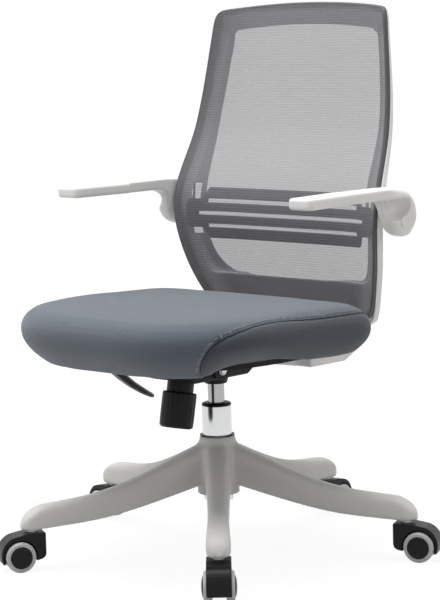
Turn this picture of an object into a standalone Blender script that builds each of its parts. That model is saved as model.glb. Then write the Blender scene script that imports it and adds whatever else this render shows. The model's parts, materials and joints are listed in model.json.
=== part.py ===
"""Swivel office chair with a mesh back, flip-up arms, a gas lift and a tilting seat.

Units are metres and +Z is up. The sitter faces -Y, so +X is the sitter's left.
Every shape is worked out in a frame whose Z axis is the swivel axis and whose floor is z = 0.
At the end the whole chair is shifted so that the origin lies under the middle of its box.
"""

import math

import bmesh
import bpy
import numpy as np
from mathutils import Matrix, Vector

# Clearances between pieces
SEAT_GAP = 0.0003
RUNNING_GAP = 0.0004
CUT_MARGIN = 0.004

# Star base
LEG_COUNT = 5
LEG_REACH = 0.320
LEG_KNEE_REACH = 0.205
FRONT_LEG_AZIMUTH = math.radians(42.6)
HUB_TOP_HEIGHT = 0.196
HUB_TOP_RADIUS = 0.0315
HUB_LIP = 0.002
HUB_FOOT_RADIUS = 0.038
HUB_FOOT_HEIGHT = 0.098
LEG_ROOT_WIDTH = 0.058
LEG_WAIST_WIDTH = 0.034
LEG_TIP_WIDTH = 0.039
LEG_ROOT_CREST = 0.194
LEG_KNEE_CREST = 0.1175
LEG_TIP_CREST = 0.103
LEG_ROOT_UNDERSIDE = 0.124
LEG_KNEE_UNDERSIDE = 0.0745
LEG_TIP_UNDERSIDE = 0.066
LEG_FOOT_SHARE = 0.86
LEG_WIDEST_RISE = 0.16
LEG_SHOULDER_SHARE = 0.96
LEG_SHOULDER_RISE = 0.70
LEG_CREST_SHARE = 0.68
LEG_CREST_RISE = 0.94

# Casters
WHEEL_RADIUS = 0.025
WHEEL_WIDTH = 0.0135
WHEEL_CAP_RADIUS = 0.0185
WHEEL_CAP_RISE = 0.0035
WHEEL_DOME_SHARE = 0.62
WHEEL_DOME_RISE = 0.8
WHEEL_EDGE = 0.0015
WHEEL_BORE_DEPTH = 0.012
WHEEL_INNER_FACE = 0.0108
WHEEL_BAY_GAP = 0.0025
CASTER_TRAIL = 0.024
AXLE_RADIUS = 0.004
STEM_RADIUS = 0.0055
STEM_DEPTH_IN_LEG = 0.026
STEM_DEPTH_IN_HOOD = 0.014
STEM_FLANGE_RADIUS = 0.009
STEM_FLANGE_THICKNESS = 0.003
HOOD_RADIUS = 0.032
HOOD_WIDTH = 0.039
HOOD_SKIRT = 0.011
HOOD_LIFT = 0.003
HOOD_EDGE = 0.001
HOOD_CORNER = 0.010

# Height of the seat plate, from which the mechanism, the seat and the back take theirs
SEAT_PLATE_HEIGHT = 0.3403

# Gas lift
COLUMN_RADIUS = 0.0245
COLUMN_WALL = 0.002
COLUMN_FLOOR = 0.003
COLUMN_TOP_DROP = 0.0943
COLUMN_TOP_HEIGHT = SEAT_PLATE_HEIGHT - COLUMN_TOP_DROP
COLUMN_FOOT_HEIGHT = 0.088
COLLAR_THICKNESS = 0.004
COLLAR_EDGE = 0.0008
BUSH_LENGTH = 0.100
PRESSURE_TUBE_RADIUS = 0.0138
PRESSURE_TUBE_WALL = 0.0033
PRESSURE_TUBE_FOOT_CLEARANCE = 0.0252
TUBE_END_THICKNESS = 0.006
PISTON_ROD_RADIUS = 0.005
PISTON_HEAD_LENGTH = 0.010
PISTON_ROD_TOP_DROP = 0.0743
PISTON_ROD_TOP = SEAT_PLATE_HEIGHT - PISTON_ROD_TOP_DROP
BEARING_RADIUS = 0.013
BEARING_THICKNESS = 0.004
ROD_CLIP_RADIUS = 0.009
ROD_CLIP_THICKNESS = 0.002
RELEASE_PIN_RADIUS = 0.003
RELEASE_PIN_RISE = 0.006
RELEASE_PIN_LENGTH = 0.015

# Tilt mechanism
SOCKET_BOTTOM_DROP = 0.0573
SOCKET_BOTTOM_HEIGHT = SEAT_PLATE_HEIGHT - SOCKET_BOTTOM_DROP
SOCKET_BOTTOM_RADIUS = 0.0185
SOCKET_TOP_RADIUS = 0.024
HOUSING_BOTTOM_DROP = 0.0413
HOUSING_BOTTOM_HEIGHT = SEAT_PLATE_HEIGHT - HOUSING_BOTTOM_DROP
HOUSING_HALF_WIDTH = 0.052
HOUSING_WALL = 0.003
HOUSING_FRONT = -0.116
HOUSING_REAR = 0.047
HOUSING_REAR_TOP_DROP = 0.0223
HOUSING_REAR_TOP = SEAT_PLATE_HEIGHT - HOUSING_REAR_TOP_DROP
HOUSING_CHAMFER = 0.014
HOUSING_REAR_CHAMFER = 0.0224
HOUSING_EDGE = 0.0025
TILT_AXLE_SETBACK = -0.044
TILT_AXLE_DROP = 0.0253
TILT_AXLE_HEIGHT = SEAT_PLATE_HEIGHT - TILT_AXLE_DROP
TILT_AXLE_RADIUS = 0.006
AXLE_CLIP_RADIUS = 0.0085
AXLE_CLIP_THICKNESS = 0.0025
AXLE_END = 0.0017
SEAT_PLATE_THICKNESS = 0.003
SEAT_PLATE_HALF_WIDTH = 0.085
SEAT_PLATE_FRONT = -0.112
SEAT_PLATE_REAR = 0.128
FLANGE_THICKNESS = 0.003
FLANGE_GAP = 0.0012
FLANGE_EAR_RADIUS = 0.0175
FLANGE_REAR_DROP = 0.022

# Tilt tension spring and its knob, along an axis that leans forward at the bottom
TENSION_FOOT_SETBACK = -0.098
TENSION_FOOT_DROP = 0.1183
TENSION_FOOT_HEIGHT = SEAT_PLATE_HEIGHT - TENSION_FOOT_DROP
TENSION_LEAN = math.radians(11.5)
KNOB_RADIUS = 0.028
KNOB_LENGTH = 0.059
KNOB_WALL = 0.0035
KNOB_FLOOR = 0.010
KNOB_EDGE = 0.0015
SLEEVE_RADIUS = 0.022
SLEEVE_WALL = 0.002
SLEEVE_ENGAGEMENT = 0.020
SLEEVE_LENGTH = 0.056
SPRING_RADIUS = 0.0155
SPRING_WIRE_RADIUS = 0.0022
SPRING_TURNS = 5
SPRING_SEAT_HEIGHT = 0.016
SPRING_SEAT_THICKNESS = 0.004
TENSION_BOLT_RADIUS = 0.005
TENSION_BOLT_HEAD_RADIUS = 0.008
TENSION_BOLT_HEAD_LENGTH = 0.005
BOLT_DEPTH_IN_KNOB = 0.006

# Lever that frees the gas lift, on the sitter's right
LEVER_ROD_RADIUS = 0.004
LEVER_DROP = 0.0238
LEVER_HEIGHT = SEAT_PLATE_HEIGHT - LEVER_DROP
LEVER_INNER_END = 0.014
LEVER_SWEEP = 0.176
LEVER_STRAIGHT_END = -0.088
LEVER_BEND_PULL = 1.5
LEVER_ROD_END_DROP = 0.0135
LEVER_ROD_END = Vector((-0.188, -0.040, LEVER_HEIGHT - LEVER_ROD_END_DROP))
LEVER_BUSH_RADIUS = 0.0065
LEVER_BUSH_LENGTH = 0.010
LEVER_BUSH_GAP = 0.0009
LEVER_NOTCH = 0.012
PADDLE_ROOT_DROP = 0.0175
PADDLE_TIP_DROP = 0.086
PADDLE_ROOT = Vector((-0.197, -0.047, LEVER_HEIGHT - PADDLE_ROOT_DROP))
PADDLE_TIP = Vector((-0.204, 0.057, LEVER_HEIGHT - PADDLE_TIP_DROP))
PADDLE_WIDTH = 0.028
PADDLE_THICKNESS = 0.009
PADDLE_DROOP = 0.003
PADDLE_BOSS_LENGTH = 0.010
PADDLE_BOSS_WALL = 0.0035
PADDLE_WIDTH_TAPER = 0.25
PADDLE_THICKNESS_TAPER = 0.35
PADDLE_ROUND_START = 0.70
PADDLE_ROUND_END = 1.01
PADDLE_HEEL_SHARE = 0.7
PADDLE_EDGE_SHARE = 0.4
PADDLE_FLAT_SHARE = 0.6
PADDLE_STATIONS = (0.0, 0.06, 0.25, 0.5, 0.75, 0.9, 0.97, 1.0)

# Seat
SEAT_HALF_WIDTH = 0.258
SEAT_FRONT = -0.300
SEAT_REAR = 0.135
SEAT_WIDEST_SETBACK = -0.025
SEAT_FRONT_SQUARENESS = 2.85
SEAT_REAR_SQUARENESS = 8.0
SEAT_TOP_RISE = 0.0777
SEAT_TOP_HEIGHT = SEAT_PLATE_HEIGHT + SEAT_TOP_RISE
SEAT_CROWN = 0.004
SEAT_WATERFALL = 0.003
SEAT_HEM_FRONT_DROP = 0.0096
SEAT_HEM_REAR_DROP = 0.0024
SEAT_HEM_DRAW_IN = 0.026
SEAT_EDGE_RADIUS = 0.0295
SEAT_SEAM_DEPTH = 0.0022
PAN_THICKNESS = 0.008
PAN_INSET = 0.046

# Back: its outline at five heights, seen from the front, and how far back its edge lies
BACK_BOTTOM_RISE = 0.0157
BACK_HIP_RISE = 0.200
BACK_TOP_RISE = 0.333
BACK_BOTTOM_HEIGHT = SEAT_PLATE_HEIGHT + BACK_BOTTOM_RISE
BACK_HIP_HEIGHT = BACK_BOTTOM_HEIGHT + BACK_HIP_RISE
BACK_TOP_HEIGHT = BACK_HIP_HEIGHT + BACK_TOP_RISE
BACK_TOP_ARCH = 0.011
BACK_LOW_FRACTION = 0.50
BACK_HIGH_FRACTION = 0.42
BACK_BOTTOM_HALF_WIDTH = 0.169
BACK_LOW_HALF_WIDTH = 0.209
BACK_HIP_HALF_WIDTH = 0.227
BACK_HIGH_HALF_WIDTH = 0.2095
BACK_TOP_HALF_WIDTH = 0.185
BACK_BOTTOM_SETBACK = 0.2005
BACK_LOW_SETBACK = 0.1625
BACK_HIP_SETBACK = 0.1415
BACK_HIGH_SETBACK = 0.1925
BACK_TOP_SETBACK = 0.225
BACK_HOLLOW = 0.0275
BACK_HOLLOW_POWER = 4.8
BACK_CORNER_ROUNDING = 0.030
BACK_STATIONS = 60
BACK_TURN_WEIGHT = 0.16

# Mesh frame, mesh and the shell behind them
MESH_FRAME_SIDE_BAND = 0.022
MESH_FRAME_TOP_BAND = 0.037
MESH_FRAME_BOTTOM_BAND = 0.072
MESH_FRAME_DEPTH = 0.009
MESH_FRAME_EDGE = 0.003
MESH_THICKNESS = 0.0012
SHELL_SIDE_PROUD = 0.002
SHELL_BOTTOM_PROUD = 0.010
SHELL_SIDE_BAND = 0.018
SHELL_TOP_BAND = 0.022
SHELL_BOTTOM_BAND = 0.060
SHELL_TOP_DEPTH = 0.004
SHELL_HIP_DEPTH = 0.0155
SHELL_BOTTOM_DEPTH = 0.009

# Lumbar support and its guide wires
LUMBAR_DROP = 0.003
LUMBAR_HEIGHT = BACK_HIP_HEIGHT - LUMBAR_DROP
LUMBAR_BAND = 0.086
LUMBAR_THICKNESS = 0.004
LUMBAR_BULGE = 0.004
LUMBAR_SLOT = 0.0075
LUMBAR_SLOT_COUNT = 3
LUMBAR_TAPER_START = 0.78
LUMBAR_END_TAPER = 0.45
LUMBAR_EYE_LENGTH = 0.036
LUMBAR_EYE_RADIUS = 0.0055
LUMBAR_MESH_GAP = 0.001
GUIDE_RADIUS = 0.003
GUIDE_INSET = 0.011
GUIDE_LOW_DROP = 0.048
GUIDE_HIGH_RISE = 0.044
GUIDE_LOW_HEIGHT = BACK_HIP_HEIGHT - GUIDE_LOW_DROP
GUIDE_HIGH_HEIGHT = BACK_HIP_HEIGHT + GUIDE_HIGH_RISE

# Arms
ARM_CENTRE = 0.250
ARM_WIDTH = 0.050
ARM_GAP = 0.002
ARM_STEP = 0.066
ARM_STEP_RUN = 0.025
ARM_TIP = -0.080
ARM_SPLAY = 0.010
ARM_TOP_RISE = 0.048
ARM_TOP_HEIGHT = BACK_HIP_HEIGHT + ARM_TOP_RISE
ARM_THICKNESS = 0.016
ARM_HUB_SETBACK = 0.147
ARM_HUB_RISE = 0.0095
ARM_HUB_HEIGHT = BACK_HIP_HEIGHT + ARM_HUB_RISE
ARM_HUB_RADIUS = 0.0375
ARM_PIVOT_SETBACK = 0.168
ARM_PIVOT_DROP = 0.008
ARM_PIVOT_HEIGHT = BACK_HIP_HEIGHT - ARM_PIVOT_DROP
ARM_NECK = 0.055
ARM_EDGE = 0.004
ARM_CORNER = 0.014
ARM_DISH_RADIUS = 0.024
ARM_DISH_DEPTH = 0.010
ARM_DISH_SETBACK = 0.129
ARM_DISH_RISE = 0.0155
ARM_DISH_HEIGHT = BACK_HIP_HEIGHT + ARM_DISH_RISE
ARM_PIN_RADIUS = 0.004
ARM_PIN_CAP_RADIUS = 0.009
ARM_PIN_CAP_THICKNESS = 0.002
ARM_PIN_DEPTH = 0.014
LUG_RADIUS = 0.012
LUG_LENGTH = 0.011

# Bracket that carries the back from the seat plate
BRACKET_TONGUE_FRONT = 0.055
BRACKET_TONGUE_HALF_WIDTH = 0.070
BRACKET_BLOCK_FRONT = 0.126
BRACKET_BLOCK_HALF_WIDTH = 0.100
BRACKET_BLOCK_DEPTH = 0.0403
BRACKET_TONGUE_DEPTH = 0.0273
BRACKET_BLOCK_BOTTOM = SEAT_PLATE_HEIGHT - BRACKET_BLOCK_DEPTH
BRACKET_TONGUE_BOTTOM = SEAT_PLATE_HEIGHT - BRACKET_TONGUE_DEPTH
BRACKET_THICKNESS = 0.012
BRACKET_RISER_RISE = 0.046
BRACKET_RISER_TOP = BACK_BOTTOM_HEIGHT + BRACKET_RISER_RISE
BRACKET_INNER_BEND = 0.005
BRACKET_WING_SLOPE = 0.030
BRACKET_WING_RISE = 0.014
BRACKET_EDGE = 0.0025
BOLT_RADIUS = 0.004
BOLT_HEAD_RADIUS = 0.008
BOLT_HEAD_THICKNESS = 0.004
BOLT_SPACING = 0.056
BOLT_DEPTH_IN_SHELL = 0.006

# Facets
ROUND_STEPS = 24
WHEEL_STEPS = 20
SMALL_STEPS = 12
SEAT_STEPS = 56
LEG_BODY_RINGS = 8
LEG_NOSE_RINGS = 5

# Colours as the finished pieces show them, with roughness and metal share
WHITE_PLASTIC = ((0.80, 0.79, 0.77), 0.35, 0.0)
BASE_PLASTIC = ((0.62, 0.61, 0.59), 0.45, 0.0)
BLACK_PLASTIC = ((0.018, 0.018, 0.018), 0.40, 0.0)
BLACK_STEEL = ((0.022, 0.022, 0.022), 0.45, 0.6)
BRIGHT_STEEL = ((0.62, 0.62, 0.62), 0.25, 1.0)
CHROME = ((0.85, 0.85, 0.86), 0.06, 1.0)
GREY_PLASTIC = ((0.085, 0.085, 0.095), 0.55, 0.0)
GREY_MESH = ((0.16, 0.16, 0.175), 0.75, 0.0)
SEAT_FABRIC = ((0.115, 0.14, 0.17), 0.85, 0.0)
WHEEL_GREY = ((0.42, 0.42, 0.43), 0.55, 0.0)

X_AXIS = Vector((1, 0, 0))
Y_AXIS = Vector((0, 1, 0))
Z_AXIS = Vector((0, 0, 1))


class Chair:
    """The collections, the materials and the empties that the pieces hang from."""

    def __init__(self):
        for obj in list(bpy.data.objects):
            bpy.data.objects.remove(obj)
        self.parts = bpy.data.collections.new("office_chair")
        self.cutters = bpy.data.collections.new("cutters")
        bpy.context.scene.collection.children.link(self.parts)
        bpy.context.scene.collection.children.link(self.cutters)
        self.materials = {}
        self.root = self.empty("chair_root", (0, 0, 0))

    def empty(self, name, location, parent=None, rotation=(0, 0, 0)):
        """An empty at a place in the parent's frame, to hang moving pieces from."""
        found = bpy.data.objects.new(name, None)
        found.empty_display_size = 0.02
        found.location = location
        found.rotation_euler = rotation
        found.parent = parent
        self.parts.objects.link(found)
        bpy.context.view_layer.update()
        return found

    def material(self, name, finish):
        """A Principled material for a colour, a roughness and a metal share."""
        if name not in self.materials:
            colour, roughness, metallic = finish
            made = bpy.data.materials.new(name)
            made.use_nodes = True
            shader = made.node_tree.nodes["Principled BSDF"]
            shader.inputs["Base Color"].default_value = (*colour, 1.0)
            shader.inputs["Roughness"].default_value = roughness
            shader.inputs["Metallic"].default_value = metallic
            made.diffuse_color = (*colour, 1.0)
            self.materials[name] = made
        return self.materials[name]

    def add(self, obj, parent, finish_name, finish, local=False):
        """Make an object one of the parts. Its mesh is in the chair's frame unless local is set."""
        for collection in list(obj.users_collection):
            collection.objects.unlink(obj)
        self.parts.objects.link(obj)
        obj.hide_render = False
        obj.display_type = "TEXTURED"
        obj.data.materials.clear()
        obj.data.materials.append(self.material(f"{obj.name}_{finish_name}", finish))
        obj.parent = parent
        if not local:
            obj.matrix_parent_inverse = parent.matrix_world.inverted()
        if obj.type == "MESH":
            obj.data.shade_smooth()
            obj.data.set_sharp_from_angle(angle=math.radians(35))
        return obj

    def helper(self, obj):
        """Keep an object as a cutter or a guide, which no render shows."""
        for collection in list(obj.users_collection):
            collection.objects.unlink(obj)
        self.cutters.objects.link(obj)
        obj.hide_render = True
        obj.display_type = "WIRE"
        return obj

    def boolean(self, obj, other, operation):
        """Cut or join another object, which becomes a helper."""
        self.helper(other)
        modifier = obj.modifiers.new(f"{operation.lower()}_{other.name}", "BOOLEAN")
        modifier.operation = operation
        modifier.solver = "EXACT"
        modifier.object = other
        return obj


def mesh_object(name, bm):
    """An object from a bmesh, linked to the scene until it is given its place."""
    mesh = bpy.data.meshes.new(name)
    bmesh.ops.recalc_face_normals(bm, faces=bm.faces)
    bm.to_mesh(mesh)
    bm.free()
    obj = bpy.data.objects.new(name, mesh)
    bpy.context.scene.collection.objects.link(obj)
    return obj


def box(name, low, high):
    """A box between two corners."""
    low, high = Vector(low), Vector(high)
    bm = bmesh.new()
    bmesh.ops.create_cube(bm, size=1.0)
    bmesh.ops.scale(bm, vec=high - low, verts=bm.verts)
    bmesh.ops.translate(bm, vec=(low + high) / 2, verts=bm.verts)
    return mesh_object(name, bm)


def rod(name, start, end, radius, steps=SMALL_STEPS, end_radius=None):
    """A cylinder or cone between two points."""
    start, end = Vector(start), Vector(end)
    bm = bmesh.new()
    bmesh.ops.create_cone(
        bm,
        cap_ends=True,
        segments=steps,
        radius1=radius,
        radius2=radius if end_radius is None else end_radius,
        depth=(end - start).length,
    )
    turn = (end - start).to_track_quat("Z", "Y").to_matrix().to_4x4()
    bmesh.ops.transform(bm, matrix=Matrix.Translation((start + end) / 2) @ turn, verts=bm.verts)
    return mesh_object(name, bm)


def turned(name, profile, closed, steps=ROUND_STEPS):
    """A profile of (radius, height) points, outer side first and downwards, turned about Z."""
    mesh = bpy.data.meshes.new(name)
    points = [(radius, 0.0, height) for radius, height in profile]
    edges = [(i, i + 1) for i in range(len(points) - 1)]
    if closed:
        edges.append((len(points) - 1, 0))
    mesh.from_pydata(points, edges, [])
    obj = bpy.data.objects.new(name, mesh)
    bpy.context.scene.collection.objects.link(obj)
    screw = obj.modifiers.new("turn", "SCREW")
    screw.steps = steps
    screw.render_steps = steps
    screw.use_merge_vertices = True
    screw.merge_threshold = 0.00001
    screw.use_smooth_shade = True
    return obj


def as_mesh(obj, matrix=None):
    """The evaluated shape of an object as a plain mesh object under the same name, welded."""
    bpy.context.view_layer.update()
    graph = bpy.context.evaluated_depsgraph_get()
    mesh = bpy.data.meshes.new_from_object(obj.evaluated_get(graph))
    name, place = obj.name, obj.matrix_world.copy()
    bpy.data.objects.remove(obj)
    bm = bmesh.new()
    bm.from_mesh(mesh)
    bmesh.ops.remove_doubles(bm, verts=bm.verts, dist=0.000005)
    bmesh.ops.transform(bm, matrix=place if matrix is None else matrix @ place, verts=bm.verts)
    bpy.data.meshes.remove(mesh)
    return mesh_object(name, bm)


def plate(name, outline, thickness, matrix):
    """A flat outline with a thickness, placed by a matrix whose third axis is the thickness."""
    curve = bpy.data.curves.new(name, "CURVE")
    curve.dimensions = "2D"
    curve.fill_mode = "BOTH"
    curve.extrude = thickness / 2
    spline = curve.splines.new("POLY")
    spline.points.add(len(outline) - 1)
    for point, (u, v) in zip(spline.points, outline):
        point.co = (u, v, 0.0, 1.0)
    spline.use_cyclic_u = True
    obj = bpy.data.objects.new(name, curve)
    bpy.context.scene.collection.objects.link(obj)
    return as_mesh(obj, matrix)


def side_plate(name, outline, inner, outer):
    """A plate whose outline is given as (setback, height), from one x to another."""
    place = Matrix(((0, 0, 1, (inner + outer) / 2), (1, 0, 0, 0), (0, 1, 0, 0), (0, 0, 0, 1)))
    return plate(name, outline, abs(outer - inner), place)


def wire(name, points, radius, resolution=2):
    """A round tube along a run of points, with filled ends."""
    curve = bpy.data.curves.new(name, "CURVE")
    curve.dimensions = "3D"
    curve.bevel_depth = radius
    curve.bevel_resolution = resolution
    curve.use_fill_caps = True
    spline = curve.splines.new("POLY")
    spline.points.add(len(points) - 1)
    for point, place in zip(spline.points, points):
        point.co = (*place, 1.0)
    obj = bpy.data.objects.new(name, curve)
    bpy.context.scene.collection.objects.link(obj)
    return as_mesh(obj)


def loft(name, rings, closed=False):
    """Skin a run of rings with equal point counts. A ring of one point is a pole.

    Every four-cornered face is split along its shorter diagonal, so two pieces with the same stations
    lie flat against each other.
    """
    bm = bmesh.new()
    rows = [[bm.verts.new(point) for point in ring] for ring in rings]
    pairs = list(zip(rows, rows[1:] + rows[:1])) if closed else list(zip(rows, rows[1:]))
    for low, high in pairs:
        count = max(len(low), len(high))
        for i in range(count):
            j = (i + 1) % count
            corners = [low[i % len(low)], low[j % len(low)], high[j % len(high)], high[i % len(high)]]
            corners = list(dict.fromkeys(corners))
            if len(corners) == 3:
                bm.faces.new(corners)
                continue
            a, b, c, d = corners
            if (a.co - c.co).length <= (b.co - d.co).length:
                bm.faces.new((a, b, c))
                bm.faces.new((a, c, d))
            else:
                bm.faces.new((a, b, d))
                bm.faces.new((b, c, d))
    if not closed:
        for row in (rows[0], rows[-1]):
            if len(row) > 2:
                bm.faces.new(row)
    return mesh_object(name, bm)


def bevel(obj, width, segments=2, angle=math.radians(40)):
    """Round the sharp edges of an object."""
    modifier = obj.modifiers.new("round", "BEVEL")
    modifier.width = width
    modifier.segments = segments
    modifier.limit_method = "ANGLE"
    modifier.angle_limit = angle
    modifier.harden_normals = False
    return obj


def arc(centre, radius, start, end, count):
    """Points on a circle between two angles in degrees, in the plane of the outline."""
    angles = np.radians(np.linspace(start, end, count))
    return [(centre[0] + radius * math.cos(a), centre[1] + radius * math.sin(a)) for a in angles]


def through(knots, values, at):
    """A smooth curve through knots: cubic pieces whose slopes come from the neighbouring knots."""
    knots, values, at = (np.asarray(given, float) for given in (knots, values, at))
    slopes = np.gradient(values, knots)
    left = np.clip(np.searchsorted(knots, at) - 1, 0, len(knots) - 2)
    span = knots[left + 1] - knots[left]
    t = np.clip((at - knots[left]) / span, 0.0, 1.0)
    start = (2 * t**3 - 3 * t**2 + 1) * values[left] + (t**3 - 2 * t**2 + t) * span * slopes[left]
    end = (3 * t**2 - 2 * t**3) * values[left + 1] + (t**3 - t**2) * span * slopes[left + 1]
    return start + end


# Star base


def leg_azimuths():
    """The direction of each leg, counted from straight ahead towards the sitter's left."""
    return [FRONT_LEG_AZIMUTH + i * math.tau / LEG_COUNT for i in range(LEG_COUNT)]


def leg_turn(azimuth):
    """The turn about Z that takes +X to a leg's direction."""
    return Matrix.Rotation(azimuth - math.pi / 2, 4, "Z")


def leg_section(width, low, top):
    """Outline across a leg: a soft crest, upright flanks and a flat underside."""
    half, rise = width / 2, top - low
    flank = [
        (half * LEG_FOOT_SHARE, low),
        (half, low + rise * LEG_WIDEST_RISE),
        (half * LEG_SHOULDER_SHARE, low + rise * LEG_SHOULDER_RISE),
        (half * LEG_CREST_SHARE, low + rise * LEG_CREST_RISE),
    ]
    return flank + [(0.0, top)] + [(-across, height) for across, height in reversed(flank)]


def leg_rings():
    """Rings of a leg along +X, from inside the hub to a nose that is round in plan and in side view."""
    nose_radius = LEG_TIP_WIDTH / 2
    nose_start = LEG_REACH - nose_radius
    body = np.linspace(0.0, nose_start, LEG_BODY_RINGS)
    nose = np.sin(np.radians(np.linspace(20, 80, LEG_NOSE_RINGS)))
    reach = np.concatenate([body, nose_start + nose * 2 * nose_radius])
    knots = np.array([0.0, LEG_KNEE_REACH, LEG_REACH])
    width = through(knots, [LEG_ROOT_WIDTH, LEG_WAIST_WIDTH, LEG_TIP_WIDTH], reach)
    crest = through(knots, [LEG_ROOT_CREST, LEG_KNEE_CREST, LEG_TIP_CREST], reach)
    low = through(knots, [LEG_ROOT_UNDERSIDE, LEG_KNEE_UNDERSIDE, LEG_TIP_UNDERSIDE], reach)
    past_stem = np.clip((reach - LEG_REACH) / nose_radius, 0.0, 1.0)
    past_start = np.clip((reach - nose_start) / (2 * nose_radius), 0.0, 1.0)
    width = width * np.sqrt(1.0 - past_stem**2)
    crest = low + (crest - low) * np.sqrt(1.0 - past_start**2)
    sections = [leg_section(w, bottom, top) for w, bottom, top in zip(width, low, crest)]
    return [[(x, across, up) for across, up in section] for x, section in zip(reach, sections)]


def make_star_base(chair):
    """Hub with the bore for the gas column, and five legs with sockets for the caster stems."""
    bore = COLUMN_RADIUS + SEAT_GAP
    profile = [
        (HUB_TOP_RADIUS - HUB_LIP, HUB_TOP_HEIGHT),
        (HUB_TOP_RADIUS, HUB_TOP_HEIGHT - HUB_LIP),
        (HUB_TOP_RADIUS, HUB_TOP_HEIGHT - 4 * HUB_LIP),
        (HUB_FOOT_RADIUS, HUB_FOOT_HEIGHT),
        (0.0, HUB_FOOT_HEIGHT),
    ]
    base = as_mesh(turned("star_base", [(0.0, HUB_TOP_HEIGHT)] + profile, closed=False))
    for index, azimuth in enumerate(leg_azimuths(), start=1):
        leg = loft(f"leg_{index}", leg_rings())
        leg.data.transform(leg_turn(azimuth))
        chair.boolean(base, leg, "UNION")
    for index, azimuth in enumerate(leg_azimuths(), start=1):
        foot = leg_turn(azimuth) @ Vector((LEG_REACH, 0, LEG_TIP_UNDERSIDE))
        low = foot - CUT_MARGIN * Z_AXIS
        high = foot + (STEM_DEPTH_IN_LEG + SEAT_GAP) * Z_AXIS
        socket = rod(f"stem_socket_{index}", low, high, STEM_RADIUS + SEAT_GAP)
        chair.boolean(base, socket, "DIFFERENCE")
    low = (0, 0, HUB_FOOT_HEIGHT - CUT_MARGIN)
    high = (0, 0, HUB_TOP_HEIGHT + CUT_MARGIN)
    chair.boolean(base, rod("hub_bore", low, high, bore, ROUND_STEPS), "DIFFERENCE")
    chair.add(base, chair.root, "plastic", BASE_PLASTIC)


# Casters, each in a frame with the stem axis as Z and the trailing direction as +X


def hood_outline(hood_top):
    """Side view of a caster hood: a block round the stem and a guard over the wheels."""
    stem_half = LEG_TIP_WIDTH / 2 - HOOD_EDGE
    axle = (CASTER_TRAIL, WHEEL_RADIUS + HOOD_LIFT)
    guard = arc(axle, HOOD_RADIUS, 70, -25, 9)
    foot = WHEEL_RADIUS - HOOD_SKIRT
    corner = arc((-stem_half + HOOD_CORNER, axle[1] + HOOD_EDGE), HOOD_CORNER, 260, 180, 4)
    crown = [(-stem_half, hood_top), (CASTER_TRAIL / 2, hood_top)]
    return crown + guard + [(CASTER_TRAIL + HOOD_SKIRT, foot), (CASTER_TRAIL - HOOD_SKIRT, foot)] + corner


def make_hood(chair, pivot, index):
    """Hood with two wheel bays, a hole for the stem and one for the axle."""
    hood_top = LEG_TIP_UNDERSIDE - STEM_FLANGE_THICKNESS - 2 * SEAT_GAP
    half = HOOD_WIDTH / 2
    across = Matrix(((1, 0, 0, 0), (0, 0, -1, 0), (0, 1, 0, 0), (0, 0, 0, 1)))
    hood = plate(f"caster_{index}_hood", hood_outline(hood_top), HOOD_WIDTH, across)
    axle = Vector((CASTER_TRAIL, 0, WHEEL_RADIUS))
    bay_radius = WHEEL_RADIUS + WHEEL_BAY_GAP
    for side in (-1, 1):
        start = axle + side * (WHEEL_INNER_FACE - RUNNING_GAP) * Y_AXIS
        end = axle + side * (half + CUT_MARGIN) * Y_AXIS
        bay = rod(f"wheel_bay_{index}_{side}", start, end, bay_radius, WHEEL_STEPS)
        chair.boolean(hood, bay, "DIFFERENCE")
    hole = rod(f"axle_hole_{index}", axle - half * Y_AXIS, axle + half * Y_AXIS, AXLE_RADIUS + SEAT_GAP)
    chair.boolean(hood, hole, "DIFFERENCE")
    low = (0, 0, hood_top - STEM_DEPTH_IN_HOOD - SEAT_GAP)
    high = (0, 0, hood_top + CUT_MARGIN)
    chair.boolean(hood, rod(f"hood_socket_{index}", low, high, STEM_RADIUS + SEAT_GAP), "DIFFERENCE")
    for modifier in hood.modifiers:
        modifier.object.parent = pivot
    chair.add(hood, pivot, "plastic", BLACK_PLASTIC, local=True)
    return hood_top


def make_stem(chair, pivot, index, hood_top):
    """Stem with a flange between the hood and the leg."""
    flange_low = hood_top + SEAT_GAP
    flange_high = flange_low + STEM_FLANGE_THICKNESS
    profile = [
        (0.0, flange_high + STEM_DEPTH_IN_LEG),
        (STEM_RADIUS, flange_high + STEM_DEPTH_IN_LEG),
        (STEM_RADIUS, flange_high),
        (STEM_FLANGE_RADIUS, flange_high),
        (STEM_FLANGE_RADIUS, flange_low),
        (STEM_RADIUS, flange_low),
        (STEM_RADIUS, hood_top - STEM_DEPTH_IN_HOOD),
        (0.0, hood_top - STEM_DEPTH_IN_HOOD),
    ]
    stem = turned(f"caster_{index}_stem", profile, closed=False, steps=SMALL_STEPS)
    chair.add(stem, pivot, "steel", BRIGHT_STEEL, local=True)


def make_axle(chair, pivot, index):
    """Axle through the hood, held in both wheels."""
    half = (WHEEL_INNER_FACE + WHEEL_BORE_DEPTH - SEAT_GAP) * Y_AXIS
    axle = rod(f"caster_{index}_axle", -half, half, AXLE_RADIUS)
    axle.location = (CASTER_TRAIL, 0, WHEEL_RADIUS)
    chair.add(axle, pivot, "steel", BRIGHT_STEEL, local=True)


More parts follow.
